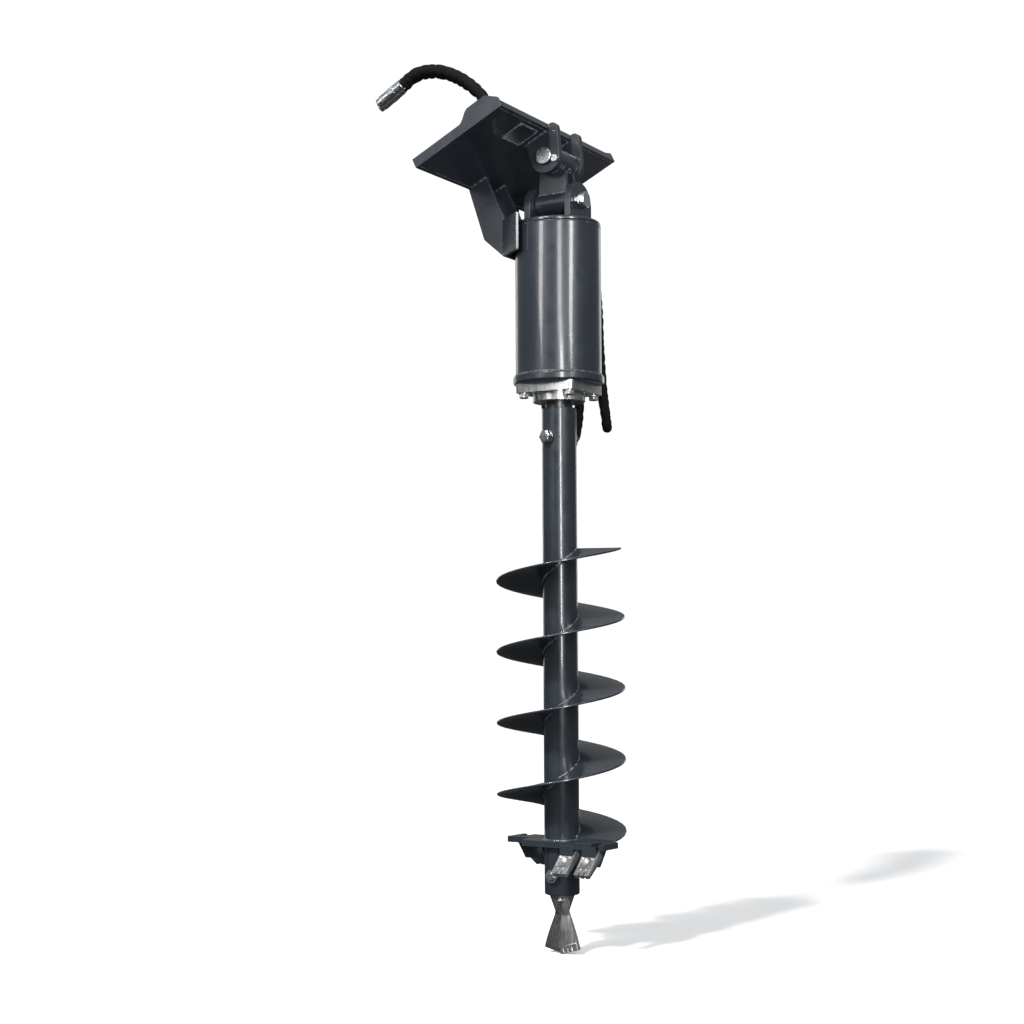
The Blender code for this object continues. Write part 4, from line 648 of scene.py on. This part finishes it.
def machined_look():
    """Milled steel with fine tool lines."""
    look = Shader("machined_steel", (0.55, 0.56, 0.57), 0.32, metallic=1.0)
    lines = look.noise(60, detail=3, stretch=(1, 14, 1))
    look.colour(lines, USUAL, (0.40, 0.405, 0.41), (0.58, 0.585, 0.59))
    look.roughness(lines, USUAL, 0.24, 0.40)
    return look.with_bump((lines, 0.00006), (look.noise(300, detail=2), 0.00003))


def forged_look():
    """Steel casting, blasted grey, brighter where it has rubbed."""
    look = Shader("forged_steel", (0.34, 0.345, 0.35), 0.44, metallic=0.85)
    patch = look.noise(34, detail=5, distortion=0.6)
    base = look.mix(patch, (0.32, 0.7), (0.26, 0.265, 0.27), (0.47, 0.475, 0.48))
    look.colour(look.edges(0.0016, (0.70, 0.97)), (0, 1), base, (0.62, 0.625, 0.63), most=0.7)
    look.roughness(look.noise(120), USUAL, 0.32, 0.58)
    return look.with_bump((look.noise(330), 0.00018), (look.noise(90, detail=3), 0.00025))


def bright_forging_look():
    """Ground and worn steel of the pilot: lengthwise grinding lines over a blotchy grey."""
    look = Shader("bright_forging", (0.42, 0.42, 0.425), 0.36, metallic=0.9)
    lines = look.noise(40, stretch=(6, 6, 0.5))
    patch = look.noise(26)
    base = look.mix(lines, USUAL, (0.24, 0.24, 0.245), (0.60, 0.60, 0.605))
    look.colour(patch, (0.35, 0.7), base, (0.30, 0.30, 0.30), most=0.6)
    look.roughness(patch, USUAL, 0.26, 0.48)
    return look.with_bump((lines, 0.00020), (look.noise(380, detail=3), 0.00010))


def dark_forging_look():
    """Grooved face of the pilot's blades: a darker copy of the forging, painted shade for the faces turned from
    the light, with lengthwise grinding lines, darker between them.
    """
    look = Shader("dark_forging", (0.12, 0.12, 0.122), 0.42, metallic=0.85)
    lines = look.noise(70, stretch=(5, 5, 0.25))
    look.colour(lines, (0.34, 0.66), (0.11, 0.11, 0.112), (0.36, 0.36, 0.364))
    look.roughness(lines, USUAL, 0.50, 0.30)
    return look.with_bump((lines, 0.00012), (look.noise(380, detail=3), 0.00006))


def shaft_look():
    """Dark steel of the output shaft's neck: painted shadow for the gap between boss and tube."""
    look = Shader("oiled_shaft", (0.07, 0.07, 0.073), 0.34, metallic=0.9)
    film = look.noise(55)
    look.colour(film, USUAL, (0.045, 0.045, 0.047), (0.11, 0.11, 0.114))
    look.roughness(film, USUAL, 0.26, 0.44)
    return look.with_bump((look.noise(420, detail=2), 0.00004))


def gear_look():
    """Ground gear steel under a film of oil."""
    look = Shader("gear_steel", (0.42, 0.43, 0.45), 0.3, metallic=1.0)
    film = look.noise(40)
    look.colour(film, USUAL, (0.30, 0.29, 0.27), (0.48, 0.49, 0.50))
    look.roughness(film, USUAL, 0.2, 0.4)
    return look.with_bump((look.noise(500, detail=2), 0.00005))


def cast_look():
    """Cast iron with a sandy skin."""
    look = Shader("cast_iron", (0.11, 0.115, 0.12), 0.55, metallic=0.4)
    sand = look.noise(260)
    look.colour(sand, (0.35, 0.7), (0.085, 0.09, 0.095), (0.15, 0.155, 0.16))
    look.roughness(sand, USUAL, 0.48, 0.66)
    return look.with_bump((sand, 0.0003))


def bronze_look():
    """Turned bearing bronze."""
    look = Shader("bearing_bronze", (0.55, 0.38, 0.16), 0.36, metallic=1.0)
    grain = look.noise(150, detail=3, stretch=(1, 1, 9))
    look.colour(grain, USUAL, (0.45, 0.30, 0.13), (0.62, 0.45, 0.21))
    look.roughness(grain, USUAL, 0.28, 0.44)
    return look.with_bump((grain, 0.00005))


def sleeve_look():
    """Black woven nylon sleeve: a fine braid over the hose, dull, a little dusty."""
    look = Shader("black_sleeve", (0.004, 0.004, 0.0045), 0.82, Specular_IOR_Level=0.18)
    weave = look.cells(scale=620)
    dust = look.noise(70)
    thread = look.mix(weave, (0.1, 0.65), (0.007, 0.007, 0.0075), (0.002, 0.002, 0.0022))
    look.colour(dust, (0.5, 0.8), thread, (0.012, 0.012, 0.013), most=0.35)
    look.roughness(weave, (0.1, 0.6), 0.74, 0.95)
    return look.with_bump((weave, 0.00045), (look.noise(150, detail=3), 0.0006))


def badge_look():
    """Bare dark plate of the nameplate, a shade duller than the paint."""
    look = Shader("badge_plate", (0.020, 0.024, 0.029), 0.42, Coat_Weight=0.2, Coat_Roughness=0.3)
    film = look.noise(70)
    look.colour(film, USUAL, (0.016, 0.019, 0.024), (0.033, 0.038, 0.045))
    look.roughness(film, USUAL, 0.34, 0.5)
    return look.with_bump((look.noise(700, detail=2), 0.00005))


def badge_rim_look():
    """Raised rim of the nameplate in a lighter grey: a painted highlight round the rim."""
    look = Shader("badge_rim", (0.11, 0.12, 0.13), 0.38, Coat_Weight=0.3, Coat_Roughness=0.2)
    rim_highlight = look.noise(120)
    look.colour(rim_highlight, (0.35, 0.7), (0.06, 0.068, 0.078), (0.19, 0.20, 0.215))
    look.roughness(rim_highlight, USUAL, 0.3, 0.5)
    return look.with_bump((look.noise(500, detail=2), 0.00005))


def make_looks():
    return {
        "charcoal_paint": paint_look(), "zinc_plate": zinc_look(), "machined_steel": machined_look(),
        "forged_steel": forged_look(), "gear_steel": gear_look(), "cast_iron": cast_look(),
        "bearing_bronze": bronze_look(), "black_sleeve": sleeve_look(), "oiled_shaft": shaft_look(),
        "weld": weld_look(), "badge": badge_look(), "badge_rim": badge_rim_look(),
        "bright_forging": bright_forging_look(), "dark_forging": dark_forging_look(),
    }


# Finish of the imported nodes
def smoothing_group():
    """Merges split corners and shades smooth, with hard edges where faces meet sharply."""
    group = bpy.data.node_groups.new("smooth_by_angle", "GeometryNodeTree")
    group.interface.new_socket("Geometry", in_out="INPUT", socket_type="NodeSocketGeometry")
    group.interface.new_socket("Geometry", in_out="OUTPUT", socket_type="NodeSocketGeometry")
    start = group.nodes.new("NodeGroupInput")
    merge = group.nodes.new("GeometryNodeMergeByDistance")
    merge.inputs["Distance"].default_value = MERGE_DISTANCE
    smooth = group.nodes.new("GeometryNodeSetShadeSmooth")
    sharp = group.nodes.new("GeometryNodeSetShadeSmooth")
    sharp.domain = "EDGE"
    sharp.inputs["Shade Smooth"].default_value = False
    angle = group.nodes.new("GeometryNodeInputMeshEdgeAngle")
    over = group.nodes.new("FunctionNodeCompare")
    over.operation = "GREATER_THAN"
    over.inputs["B"].default_value = EDGE_ANGLE
    end = group.nodes.new("NodeGroupOutput")
    join = group.links.new
    join(start.outputs[0], merge.inputs["Geometry"])
    join(merge.outputs["Geometry"], smooth.inputs["Geometry"])
    join(smooth.outputs["Geometry"], sharp.inputs["Geometry"])
    join(angle.outputs["Unsigned Angle"], over.inputs["A"])
    join(over.outputs["Result"], sharp.inputs["Selection"])
    join(sharp.outputs["Geometry"], end.inputs[0])
    return group


def break_edges(piece):
    """Small rounding along hard edges."""
    bevel = piece.modifiers.new("edge", "BEVEL")
    bevel.width = EDGE_WIDTH
    bevel.segments = 2
    bevel.limit_method = "ANGLE"
    bevel.angle_limit = EDGE_ANGLE
    bevel.harden_normals = True


def finish_nodes(looks):
    """Each node gets its slot's look, but the output shaft a dark steel that is painted shadow; what lies inside
    keeps sharp edges.
    """
    group = smoothing_group()
    for name, node in NODES.items():
        # The output shaft's neck is darkened: painted shadow.
        look = "oiled_shaft" if name == "output_shaft" else SLOTS[name]
        node.data.materials.clear()
        node.data.materials.append(looks[look])
        node.modifiers.new("smooth", "NODES").node_group = group
        if not name.startswith(INSIDE) and not node.hide_render:
            break_edges(node)


# Welds
def weld_radius(size, seed):
    def radius(so_far, _, point):
        ripple = abs(sin(pi * so_far / WELD_RIPPLE)) ** WELD_RIPPLE_POWER
        drift = noise.noise(point * WELD_DRIFT_SCALE + Vector((seed, 0, 0)))
        return size * (1 - WELD_RIPPLE_DEPTH + WELD_RIPPLE_DEPTH * ripple + WELD_DRIFT * drift)
    return radius


def add_weld(name, paths, body, looks, closed=False):
    """A rippled bead along each path."""
    bm = bmesh.new()
    for k, path in enumerate(paths):
        line = even_steps([*path, path[0]] if closed else path, WELD_STEP)
        if closed:
            line.pop()
        radius = weld_radius(WELD_SIZES[name], WELD_SEED * k + len(name))
        add_tube(bm, line, radius, WELD_SIDES, closed)
    add_object(name, to_mesh(bm, name), looks["weld"], body)


def ear_welds(looks):
    """Fillets of the mount ears on the plate."""
    beads = []
    for side in (-1, 1):
        for x in EAR_FACES:
            levels = (EAR_ROOT, PLATE_HALF_HEIGHT - EAR_WELD_INSET)
            beads.append([plate_point(side * x, -PLATE_T, level) for level in levels])
        beads.append([plate_point(side * x, -PLATE_T, EAR_ROOT) for x in EAR_FACES])
    add_weld("weld_ears", beads, "mount_frame", looks)


def cradle_welds(looks):
    """Fillets of the cradle's gussets, on the plate and on the pad."""
    low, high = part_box("cradle_pad")
    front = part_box("cradle_gusset_left")[0].y
    levels = (low.z + PAD_WELD_INSETS[0], high.z - PAD_WELD_INSETS[1])
    places = [side * x for side in (-1, 1) for x in GUSSET_FACES]
    beads = [[plate_point(x, -PLATE_T, level) for level in GUSSET_ROOT] for x in places]
    beads += [[Vector((x, front, level)) for level in levels] for x in places]
    add_weld("weld_cradle", beads, "mount_frame", looks)


def plate_edge_welds(looks):
    """Seams of the hook lip and the latch bar along the plate's long edges."""
    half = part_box("mount_plate")[1].x
    seams = [[plate_point(x, -PLATE_T, up) for x in (-half, half)]
             for up in (PLATE_HALF_HEIGHT, -PLATE_HALF_HEIGHT)]
    add_weld("weld_plate_edges", seams, "mount_frame", looks)


def link_welds(looks):
    """Fillets where the webs run into the two tubes."""
    webs = (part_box("link_web_left"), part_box("link_web_right"))
    faces = [x for low, high in webs for x in (low.x, high.x)]
    half = webs[0][1].y - LOWER_PIN.y
    low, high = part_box("link_lower_tube")
    low_r = (high.z - low.z) / 2
    low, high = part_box("link_upper_tube")
    up_r = (high.z - low.z) / 2
    lower = []
    upper = []
    for x in faces:
        level = LOWER_PIN.z + sqrt(low_r ** 2 - x ** 2)
        lower.append([Vector((x, LOWER_PIN.y + y, level)) for y in (-half, half)])
        start, turn = LINK_ARC
        angles = [start + turn * i / LINK_ARC_STEPS for i in range(LINK_ARC_STEPS + 1)]
        upper.append([Vector((x, UPPER_PIN.y + up_r * cos(a), UPPER_PIN.z + up_r * sin(a))) for a in angles])
    add_weld("weld_link_lower", lower, "swing_link", looks)
    add_weld("weld_link_upper", upper, "swing_link", looks)


def drive_welds(looks):
    """Fillets of the drive ears, and rings on the flange ring and round the top plate."""
    ears = []
    for name in ("drive_ear_front", "drive_ear_rear"):
        low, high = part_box(name)
        ends = (low.x + DRIVE_EAR_WELD_INSET, high.x - DRIVE_EAR_WELD_INSET)
        ears += [[Vector((x, y, low.z)) for x in ends] for y in (low.y, high.y)]
    add_weld("weld_drive_ears", ears, "drive", looks)
    low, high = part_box("drive_housing")
    ring = circle(low.z, high.x + RING_WELD_PROUD, HOUSING_SIDES)
    add_weld("weld_ring", [ring], "drive", looks, closed=True)
    seam = circle(high.z, high.x - TOP_WELD_SUNK, HOUSING_SIDES)
    add_weld("weld_top_plate", [seam], "drive", looks, closed=True)


def helix(level):
    """Foot of the flight on the tube."""
    count = round(FLIGHT_TURNS * HELIX_STEPS)
    line = []
    for i in range(count + 1):
        turn = FLIGHT_TURNS * i / count
        angle = FLIGHT_FOOT_ANGLE + 2 * pi * turn
        line.append(Vector((TUBE_R * cos(angle), LOWER_PIN.y + TUBE_R * sin(angle),
                            level + FLIGHT_PITCH * turn)))
    return line


def auger_welds(looks):
    """Fillets on both sides of the flight and of the head plate."""
    head_top = TUBE_FOOT + HEAD_RISE
    add_weld("weld_flight", [helix(head_top), helix(head_top + FLIGHT_T)], "auger", looks)
    rings = [circle(level, TUBE_R, TUBE_SIDES) for level in (head_top, head_top - HEAD_T)]
    add_weld("weld_head", rings, "auger", looks, closed=True)


# End gussets
def end_gusset_outline():
    """Strip along the plate's end that widens into a bump beside the hook lip: (behind the plate, up it)."""
    low, high = END_LEVELS
    start, full, end = (low + share * (high - low) for share in END_BUMP_SHARES)
    crest = END_DEPTH + END_BUMP
    sweep = []
    for i in range(END_SWEEP_STEPS + 1):
        share = i / END_SWEEP_STEPS
        sweep.append((END_DEPTH + END_BUMP * sin(pi / 2 * share) ** 2, start + (full - start) * share))
    return [(-PLATE_T, low), (END_DEPTH, low), *sweep, (crest, end), (END_DEPTH, high), (-PLATE_T, high)]


def add_end_gussets(looks):
    for name, side in (("left", -1), ("right", 1)):
        bm = bmesh.new()
        add_skin(bm, [[plate_point(side * x, back, up) for back, up in end_gusset_outline()]
                      for x in (END_INNER, END_INNER + END_T)])
        gusset = add_object(f"end_gusset_rolled_{name}", to_mesh(bm, "end_gusset"), looks["charcoal_paint"],
                            "mount_frame", sharp=EDGE_ANGLE)
        break_edges(gusset)
        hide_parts(f"end_gusset_{name}")


# Nameplate without words
def badge_point(x, y, rise):
    """World place given across and up the nameplate, and in front of the mount plate."""
    return plate_point(BADGE_PLACE[0] + x, -PLATE_T - rise, BADGE_PLACE[1] + y)


def rounded(width, height):
    """Oblong with round corners."""
    points = []
    for k, (sx, sy) in enumerate(((1, 1), (-1, 1), (-1, -1), (1, -1))):
        for i in range(BADGE_CORNER_STEPS + 1):
            angle = (k + i / BADGE_CORNER_STEPS) * pi / 2
            points.append((sx * (width / 2 - BADGE_CORNER) + BADGE_CORNER * cos(angle),
                           sy * (height / 2 - BADGE_CORNER) + BADGE_CORNER * sin(angle)))
    return points


def add_badge(looks):
    """Thin plate with a raised rim on the front of the mount plate."""
    width, height = BADGE_SIZE
    section = ((0, 0), (0, BADGE_T), (BADGE_RIM / 4, BADGE_CREST), (BADGE_RIM * 3 / 4, BADGE_CREST),
               (BADGE_RIM, BADGE_FIELD))
    bm = bmesh.new()
    add_skin(bm, [[badge_point(x, y, rise) for x, y in rounded(width - 2 * inset, height - 2 * inset)]
                  for inset, rise in section])
    badge = add_object("nameplate", to_mesh(bm, "nameplate"), looks["badge"], "mount_frame",
                       sharp=EDGE_ANGLE)
    badge.data.materials.append(looks["badge_rim"])
    # The rim faces get the lighter look, a painted highlight.
    for face in badge.data.polygons[:-2]:
        face.material_index = 1


def add_rivets(looks):
    """Domed heads in the corners of the nameplate."""
    across, up = (size / 2 - RIVET_INSET for size in BADGE_SIZE)
    bm = bmesh.new()
    for middle in ((-across, -up), (-across, up), (across, -up), (across, up)):
        rings = []
        for i in range(RIVET_RINGS):
            lean = pi / 2 * i / RIVET_RINGS
            reach = RIVET_R * cos(lean)
            rise = BADGE_FIELD + RIVET_H * sin(lean)
            rings.append([badge_point(middle[0] + reach * cos(turn), middle[1] + reach * sin(turn), rise)
                          for turn in even_turns(RIVET_SIDES)])
        add_skin(bm, rings)
    add_object("nameplate_rivets", to_mesh(bm, "rivets"), looks["zinc_plate"], "mount_frame")


# Castings with a fingered tip
def furrows(u, fingers, half):
    """Sum of hills between the fingers; u runs from -0.5 to 0.5 across the casting."""
    return sum(hill((u + 0.5 - k / fingers) / half) for k in range(1, fingers))


def fingered_rows(width, length, fingers, profile, notch):
    """Rows of front and back points: x across, y along from the root, z from back to front."""
    full = profile(0, 0)[0]
    front = []
    back = []
    for j in range(ALONG_STEPS + 1):
        front.append([])
        back.append([])
        for i in range(ACROSS_STEPS + 1):
            u = i / ACROSS_STEPS - 0.5
            off_middle = abs((u + 0.5) * fingers % 1.0 - 0.5) * 2
            cut = notch * furrows(u, fingers, NOTCH_HALF / fingers) + FINGER_ROUNDING * off_middle ** 4
            along = (length - cut) * j / ALONG_STEPS
            thick, set_back = profile(u, along)
            edge = SIDE_ROUNDING * max(0.0, (abs(u) - SIDE_START) / SIDE_FADE) ** 2
            front[-1].append((u * width, along, full - set_back - edge))
            back[-1].append((u * width, along, full - thick + edge))
    return front, back


def fingered_mesh(name, width, length, fingers, profile, notch):
    """Closed casting: profile gives its thickness and how far its front is cut back."""
    bm = bmesh.new()
    sides = fingered_rows(width, length, fingers, profile, notch)
    front, back = ([[bm.verts.new(point) for point in row] for row in rows] for rows in sides)
    for rows, turn in ((front, 1), (back, -1)):
        for low, high in zip(rows, rows[1:]):
            for i in range(ACROSS_STEPS):
                bm.faces.new((low[i], low[i + 1], high[i + 1], high[i])[::turn])
    for j in range(ALONG_STEPS):
        for i in (0, ACROSS_STEPS):
            bm.faces.new((front[j][i], front[j + 1][i], back[j + 1][i], back[j][i]))
    for i in range(ACROSS_STEPS):
        for j in (0, ALONG_STEPS):
            bm.faces.new((front[j][i], front[j][i + 1], back[j][i + 1], back[j][i]))
    return to_mesh(bm, name)


# Teeth
def tooth_profile(u, along):
    """Thickness of the tooth, and how far its front is cut back: a rim round a recess, a dimple, grooves."""
    below = along - TOOTH_SOCKET
    run = max(0.0, below) / (TOOTH_LENGTH - TOOTH_SOCKET)
    thick = TOOTH_T + run * (TOOTH_TIP_T - TOOTH_T)
    inside = 1 - clamp((abs(u) - RECESS_HALF) / RECESS_SIDE_FADE)
    inside *= clamp((below - RECESS_MARGINS[0]) / RECESS_FADE)
    inside *= clamp((TOOTH_LENGTH - RECESS_MARGINS[1] - along) / RECESS_FADE)
    dimple = hill(hypot(u * TOOTH_WIDTH / DIMPLE_HALVES[0], (below - DIMPLE_PLACE) / DIMPLE_HALVES[1]))
    grooves = furrows(u, TOOTH_FINGERS, GROOVE_HALF)
    grooves *= clamp((along - TOOTH_LENGTH + GROOVE_LENGTH) / GROOVE_FADE)
    return thick, RECESS_DEPTH * inside + DIMPLE_DEPTH * dimple + GROOVE_DEPTH * grooves


def add_teeth(looks):
    """Sloping teeth on both arms; forward and up lead to the back of a tooth's root."""
    lean, rise = sin(TOOTH_SLOPE), cos(TOOTH_SLOPE)
    slope = Matrix(((-1, 0, 0), (0, -rise, -lean), (0, -lean, rise)))
    forward = HEAD_LEAD - TOOTH_BACK - TOOTH_SOCKET * rise - TOOTH_T * lean
    up = TOOTH_SOCKET * lean - TOOTH_DROP - TOOTH_T * rise
    level = TUBE_FOOT + HEAD_RISE - HEAD_T + up
    for number, (arm, radius) in enumerate([(arm, radius) for arm in range(2) for radius in TOOTH_RADII], 1):
        turn = Matrix.Rotation(HEAD_ANGLE + pi * arm, 3, "Z")
        spot = AXIS + turn @ Vector((radius, -forward, level))
        name = f"cast_tooth_{number}"
        mesh = fingered_mesh(name, TOOTH_WIDTH, TOOTH_LENGTH, TOOTH_FINGERS, tooth_profile, TOOTH_NOTCH)
        mesh.transform(Matrix.Translation(spot) @ (turn @ slope).to_4x4())
        tooth = add_object(name, mesh, looks["forged_steel"], "auger", sharp=TOOTH_SHARP)
        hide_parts(f"tooth_{number}")


# Pilot bit
def between(levels, depth):
    """Value at a depth, from three values at the bar's top, the waist and the tip."""
    if depth < PILOT_WAIST:
        share = (depth - PILOT_BAR_TOP) / (PILOT_WAIST - PILOT_BAR_TOP)
        return levels[0] + share * (levels[1] - levels[0])
    share = (depth - PILOT_WAIST) / (PILOT_REACH - PILOT_WAIST)
    return levels[1] + share * (levels[2] - levels[1])


def steps_to(start, end, count):
    """Even points from the start to short of the end."""
    return [Vector(start).lerp(Vector(end), i / count) for i in range(count)]


def pilot_section(depth):
    """Two half blades back to back, the face of each set behind the ridge of the other."""
    half = between(PILOT_HALVES, depth)
    ridge = between(PILOT_DEPTHS, depth)
    face = ridge - between(PILOT_STEPS_BACK, depth)
    fade = clamp((depth - PILOT_BAR_TOP) / PILOT_WAIST)
    side = steps_to((half, -ridge), (half, face), PILOT_SIDE_STEPS)
    for i in range(PILOT_FACE_STEPS + 1):
        share = i / PILOT_FACE_STEPS
        groove = PILOT_GROOVE * fade * (0.5 - 0.5 * cos(2 * pi * PILOT_GROOVES * share))
        side.append(Vector((half + share * (PILOT_RIDGE - half), face - groove)))
    side += steps_to((PILOT_RIDGE, ridge), (-half, ridge), PILOT_BACK_STEPS)
    return side + [-point for point in side]


def pilot_ring(depth):
    """The section at a depth, turned by the twist; its corners rise towards the tip."""
    turn = PILOT_ANGLE + PILOT_TWIST * (PILOT_REACH - depth) / (PILOT_REACH - PILOT_BAR_TOP)
    late = max(0.0, (depth - PILOT_WAIST) / (PILOT_REACH - PILOT_WAIST)) ** 2
    ring = []
    for x, y in pilot_section(depth):
        rise = PILOT_CORNER_RISE * late * abs(x) / PILOT_HALVES[2]
        ring.append(Vector((x * cos(turn) - y * sin(turn), LOWER_PIN.y + x * sin(turn) + y * cos(turn),
                            TUBE_FOOT - depth + rise)))
    return ring


def add_pilot(looks):
    """Twisted fishtail on a conical shank; the grooved faces get the darker copy of the steel, painted shade."""
    drop = PILOT_REACH - PILOT_BAR_TOP
    bm = bmesh.new()
    add_skin(bm, [pilot_ring(PILOT_BAR_TOP + drop * i / PILOT_ROWS) for i in range(PILOT_ROWS + 1)])
    add_skin(bm, [circle(TUBE_FOOT - depth, radius, CONE_SIDES) for depth, radius in PILOT_CONE])
    bit = add_object("fishtail_pilot", to_mesh(bm, "fishtail_pilot"), looks["bright_forging"],
                     "auger", sharp=PILOT_SHARP)
    # The grooved faces get the darker copy of the steel: painted shade.
    bit.data.materials.append(looks["dark_forging"])
    count = len(pilot_section(PILOT_REACH))
    for face in bit.data.polygons[:PILOT_ROWS * count]:
        station = face.index % (count // 2)
        if PILOT_SIDE_STEPS <= station <= PILOT_SIDE_STEPS + PILOT_FACE_STEPS:
            face.material_index = 1
    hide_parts("pilot_bit")


def insert_profile(u, along):
    """Thickness of the strip, and how far its front is cut back: a ledge on top, then claws."""
    ledge = LEDGE_DEPTH * max(0.0, 1 - along / LEDGE_LENGTH)
    claws = CLAW_DEPTH * clamp((along - CLAW_START) / CLAW_FADE) * furrows(u, INSERT_FINGERS, CLAW_HALF)
    return INSERT_T, ledge + claws


def add_inserts(looks):
    """Clawed cutting strip on each half blade."""
    slope = PILOT_CORNER_RISE / PILOT_HALVES[2]
    for side in range(2):
        turn = Matrix.Rotation(PILOT_ANGLE + pi * side, 3, "Z")
        outward = turn @ Vector((1, 0, slope)).normalized()
        down = turn @ Vector((slope, 0, -1)).normalized()
        front = turn @ Vector((0, -1, 0))
        tip = AXIS + Vector((0, 0, TUBE_FOOT - PILOT_REACH)) + outward * INSERT_WIDTH / 2
        proud = PILOT_DEPTHS[2] + INSERT_PROUD - INSERT_T
        root = tip - down * (INSERT_LENGTH - INSERT_PAST) + front * proud
        name = f"pilot_insert_{side + 1}"
        mesh = fingered_mesh(name, INSERT_WIDTH, INSERT_LENGTH, INSERT_FINGERS, insert_profile, INSERT_NOTCH)
        mesh.transform(Matrix.Translation(root) @ Matrix((-outward, down, front)).transposed().to_4x4())
        add_object(name, mesh, looks["bright_forging"], "auger", sharp=INSERT_SHARP)


# Studio
def add_light(name, data, away, lean=0.0):
    """Light that shines from the direction away, turned about it by lean."""
    light = bpy.data.objects.new(name, data)
    bpy.context.scene.collection.objects.link(light)
    facing = away.to_track_quat("Z", "Y").to_matrix() @ Matrix.Rotation(lean, 3, "Z")
    light.rotation_euler = facing.to_euler()
    return light


def add_strips():
    """Soft boxes round the object, unseen by the camera."""
    for name, turn, rise, distance, size, lean, power in STRIPS:
        away = towards(CAMERA_AZIMUTH + radians(turn))
        data = bpy.data.lights.new(name, "AREA")
        data.shape = "RECTANGLE"
        data.size, data.size_y = size
        data.energy = power
        light = add_light(name, data, away, radians(lean))
        light.location = AXIS + Vector((0, 0, TIP + rise)) + away * distance
        light.visible_camera = False


def add_sun():
    data = bpy.data.lights.new("sun", "SUN")
    data.energy = SUN_POWER
    data.angle = SUN_ANGLE
    add_light("sun", data, towards(CAMERA_AZIMUTH + SUN_TURN) + Vector((0, 0, tan(SUN_RISE))))


def add_floor():
    """Pale floor that glows a little, so that the shadow on it stays light."""
    bm = bmesh.new()
    corners = [bm.verts.new((sx * FLOOR_HALF, sy * FLOOR_HALF, TIP - FLOOR_GAP))
               for sx, sy in ((-1, -1), (1, -1), (1, 1), (-1, 1))]
    bm.faces.new(corners)
    look = Shader("studio_floor", FLOOR_COLOUR, FLOOR_ROUGHNESS, Specular_IOR_Level=0.0,
                  Emission_Color=(1, 1, 1, 1), Emission_Strength=FLOOR_GLOW)
    floor = bpy.data.objects.new("studio_floor", to_mesh(bm, "studio_floor"))
    floor.data.materials.append(look.material)
    floor.visible_glossy = False
    floor.visible_diffuse = False
    floor.visible_shadow = False
    bpy.context.scene.collection.objects.link(floor)


def add_world():
    """White behind the object; what the object mirrors is a dim room, lighter overhead."""
    world = bpy.data.worlds.new("studio")
    world.use_nodes = True
    nodes = world.node_tree.nodes
    links = world.node_tree.links
    room = nodes["Background"]
    place = nodes.new("ShaderNodeTexCoord")
    split = nodes.new("ShaderNodeSeparateXYZ")
    links.new(place.outputs["Generated"], split.inputs[0])
    light = map_range(world.node_tree, split.outputs["Z"], ROOM_SPAN, *ROOM_LIGHT)
    links.new(light, room.inputs["Strength"])
    room.inputs["Color"].default_value = ROOM_COLOUR
    white = nodes.new("ShaderNodeBackground")
    white.inputs["Color"].default_value = (1, 1, 1, 1)
    white.inputs["Strength"].default_value = BACKDROP
    path = nodes.new("ShaderNodeLightPath")
    either = nodes.new("ShaderNodeMixShader")
    links.new(path.outputs["Is Camera Ray"], either.inputs["Fac"])
    links.new(room.outputs[0], either.inputs[1])
    links.new(white.outputs[0], either.inputs[2])
    links.new(either.outputs[0], nodes["World Output"].inputs["Surface"])
    bpy.context.scene.world = world
    bpy.context.scene.view_settings.view_transform = "Standard"


# Order of work
make_camera()
looks = make_looks()
make_hoses(looks)
finish_nodes(looks)
for add_pieces in (ear_welds, cradle_welds, plate_edge_welds, link_welds, drive_welds, auger_welds,
                   add_end_gussets, add_badge, add_rivets, add_teeth, add_pilot, add_inserts):
    add_pieces(looks)
for add_studio_part in (add_floor, add_world, add_sun, add_strips):
    add_studio_part()

bpy.context.view_layer.update()
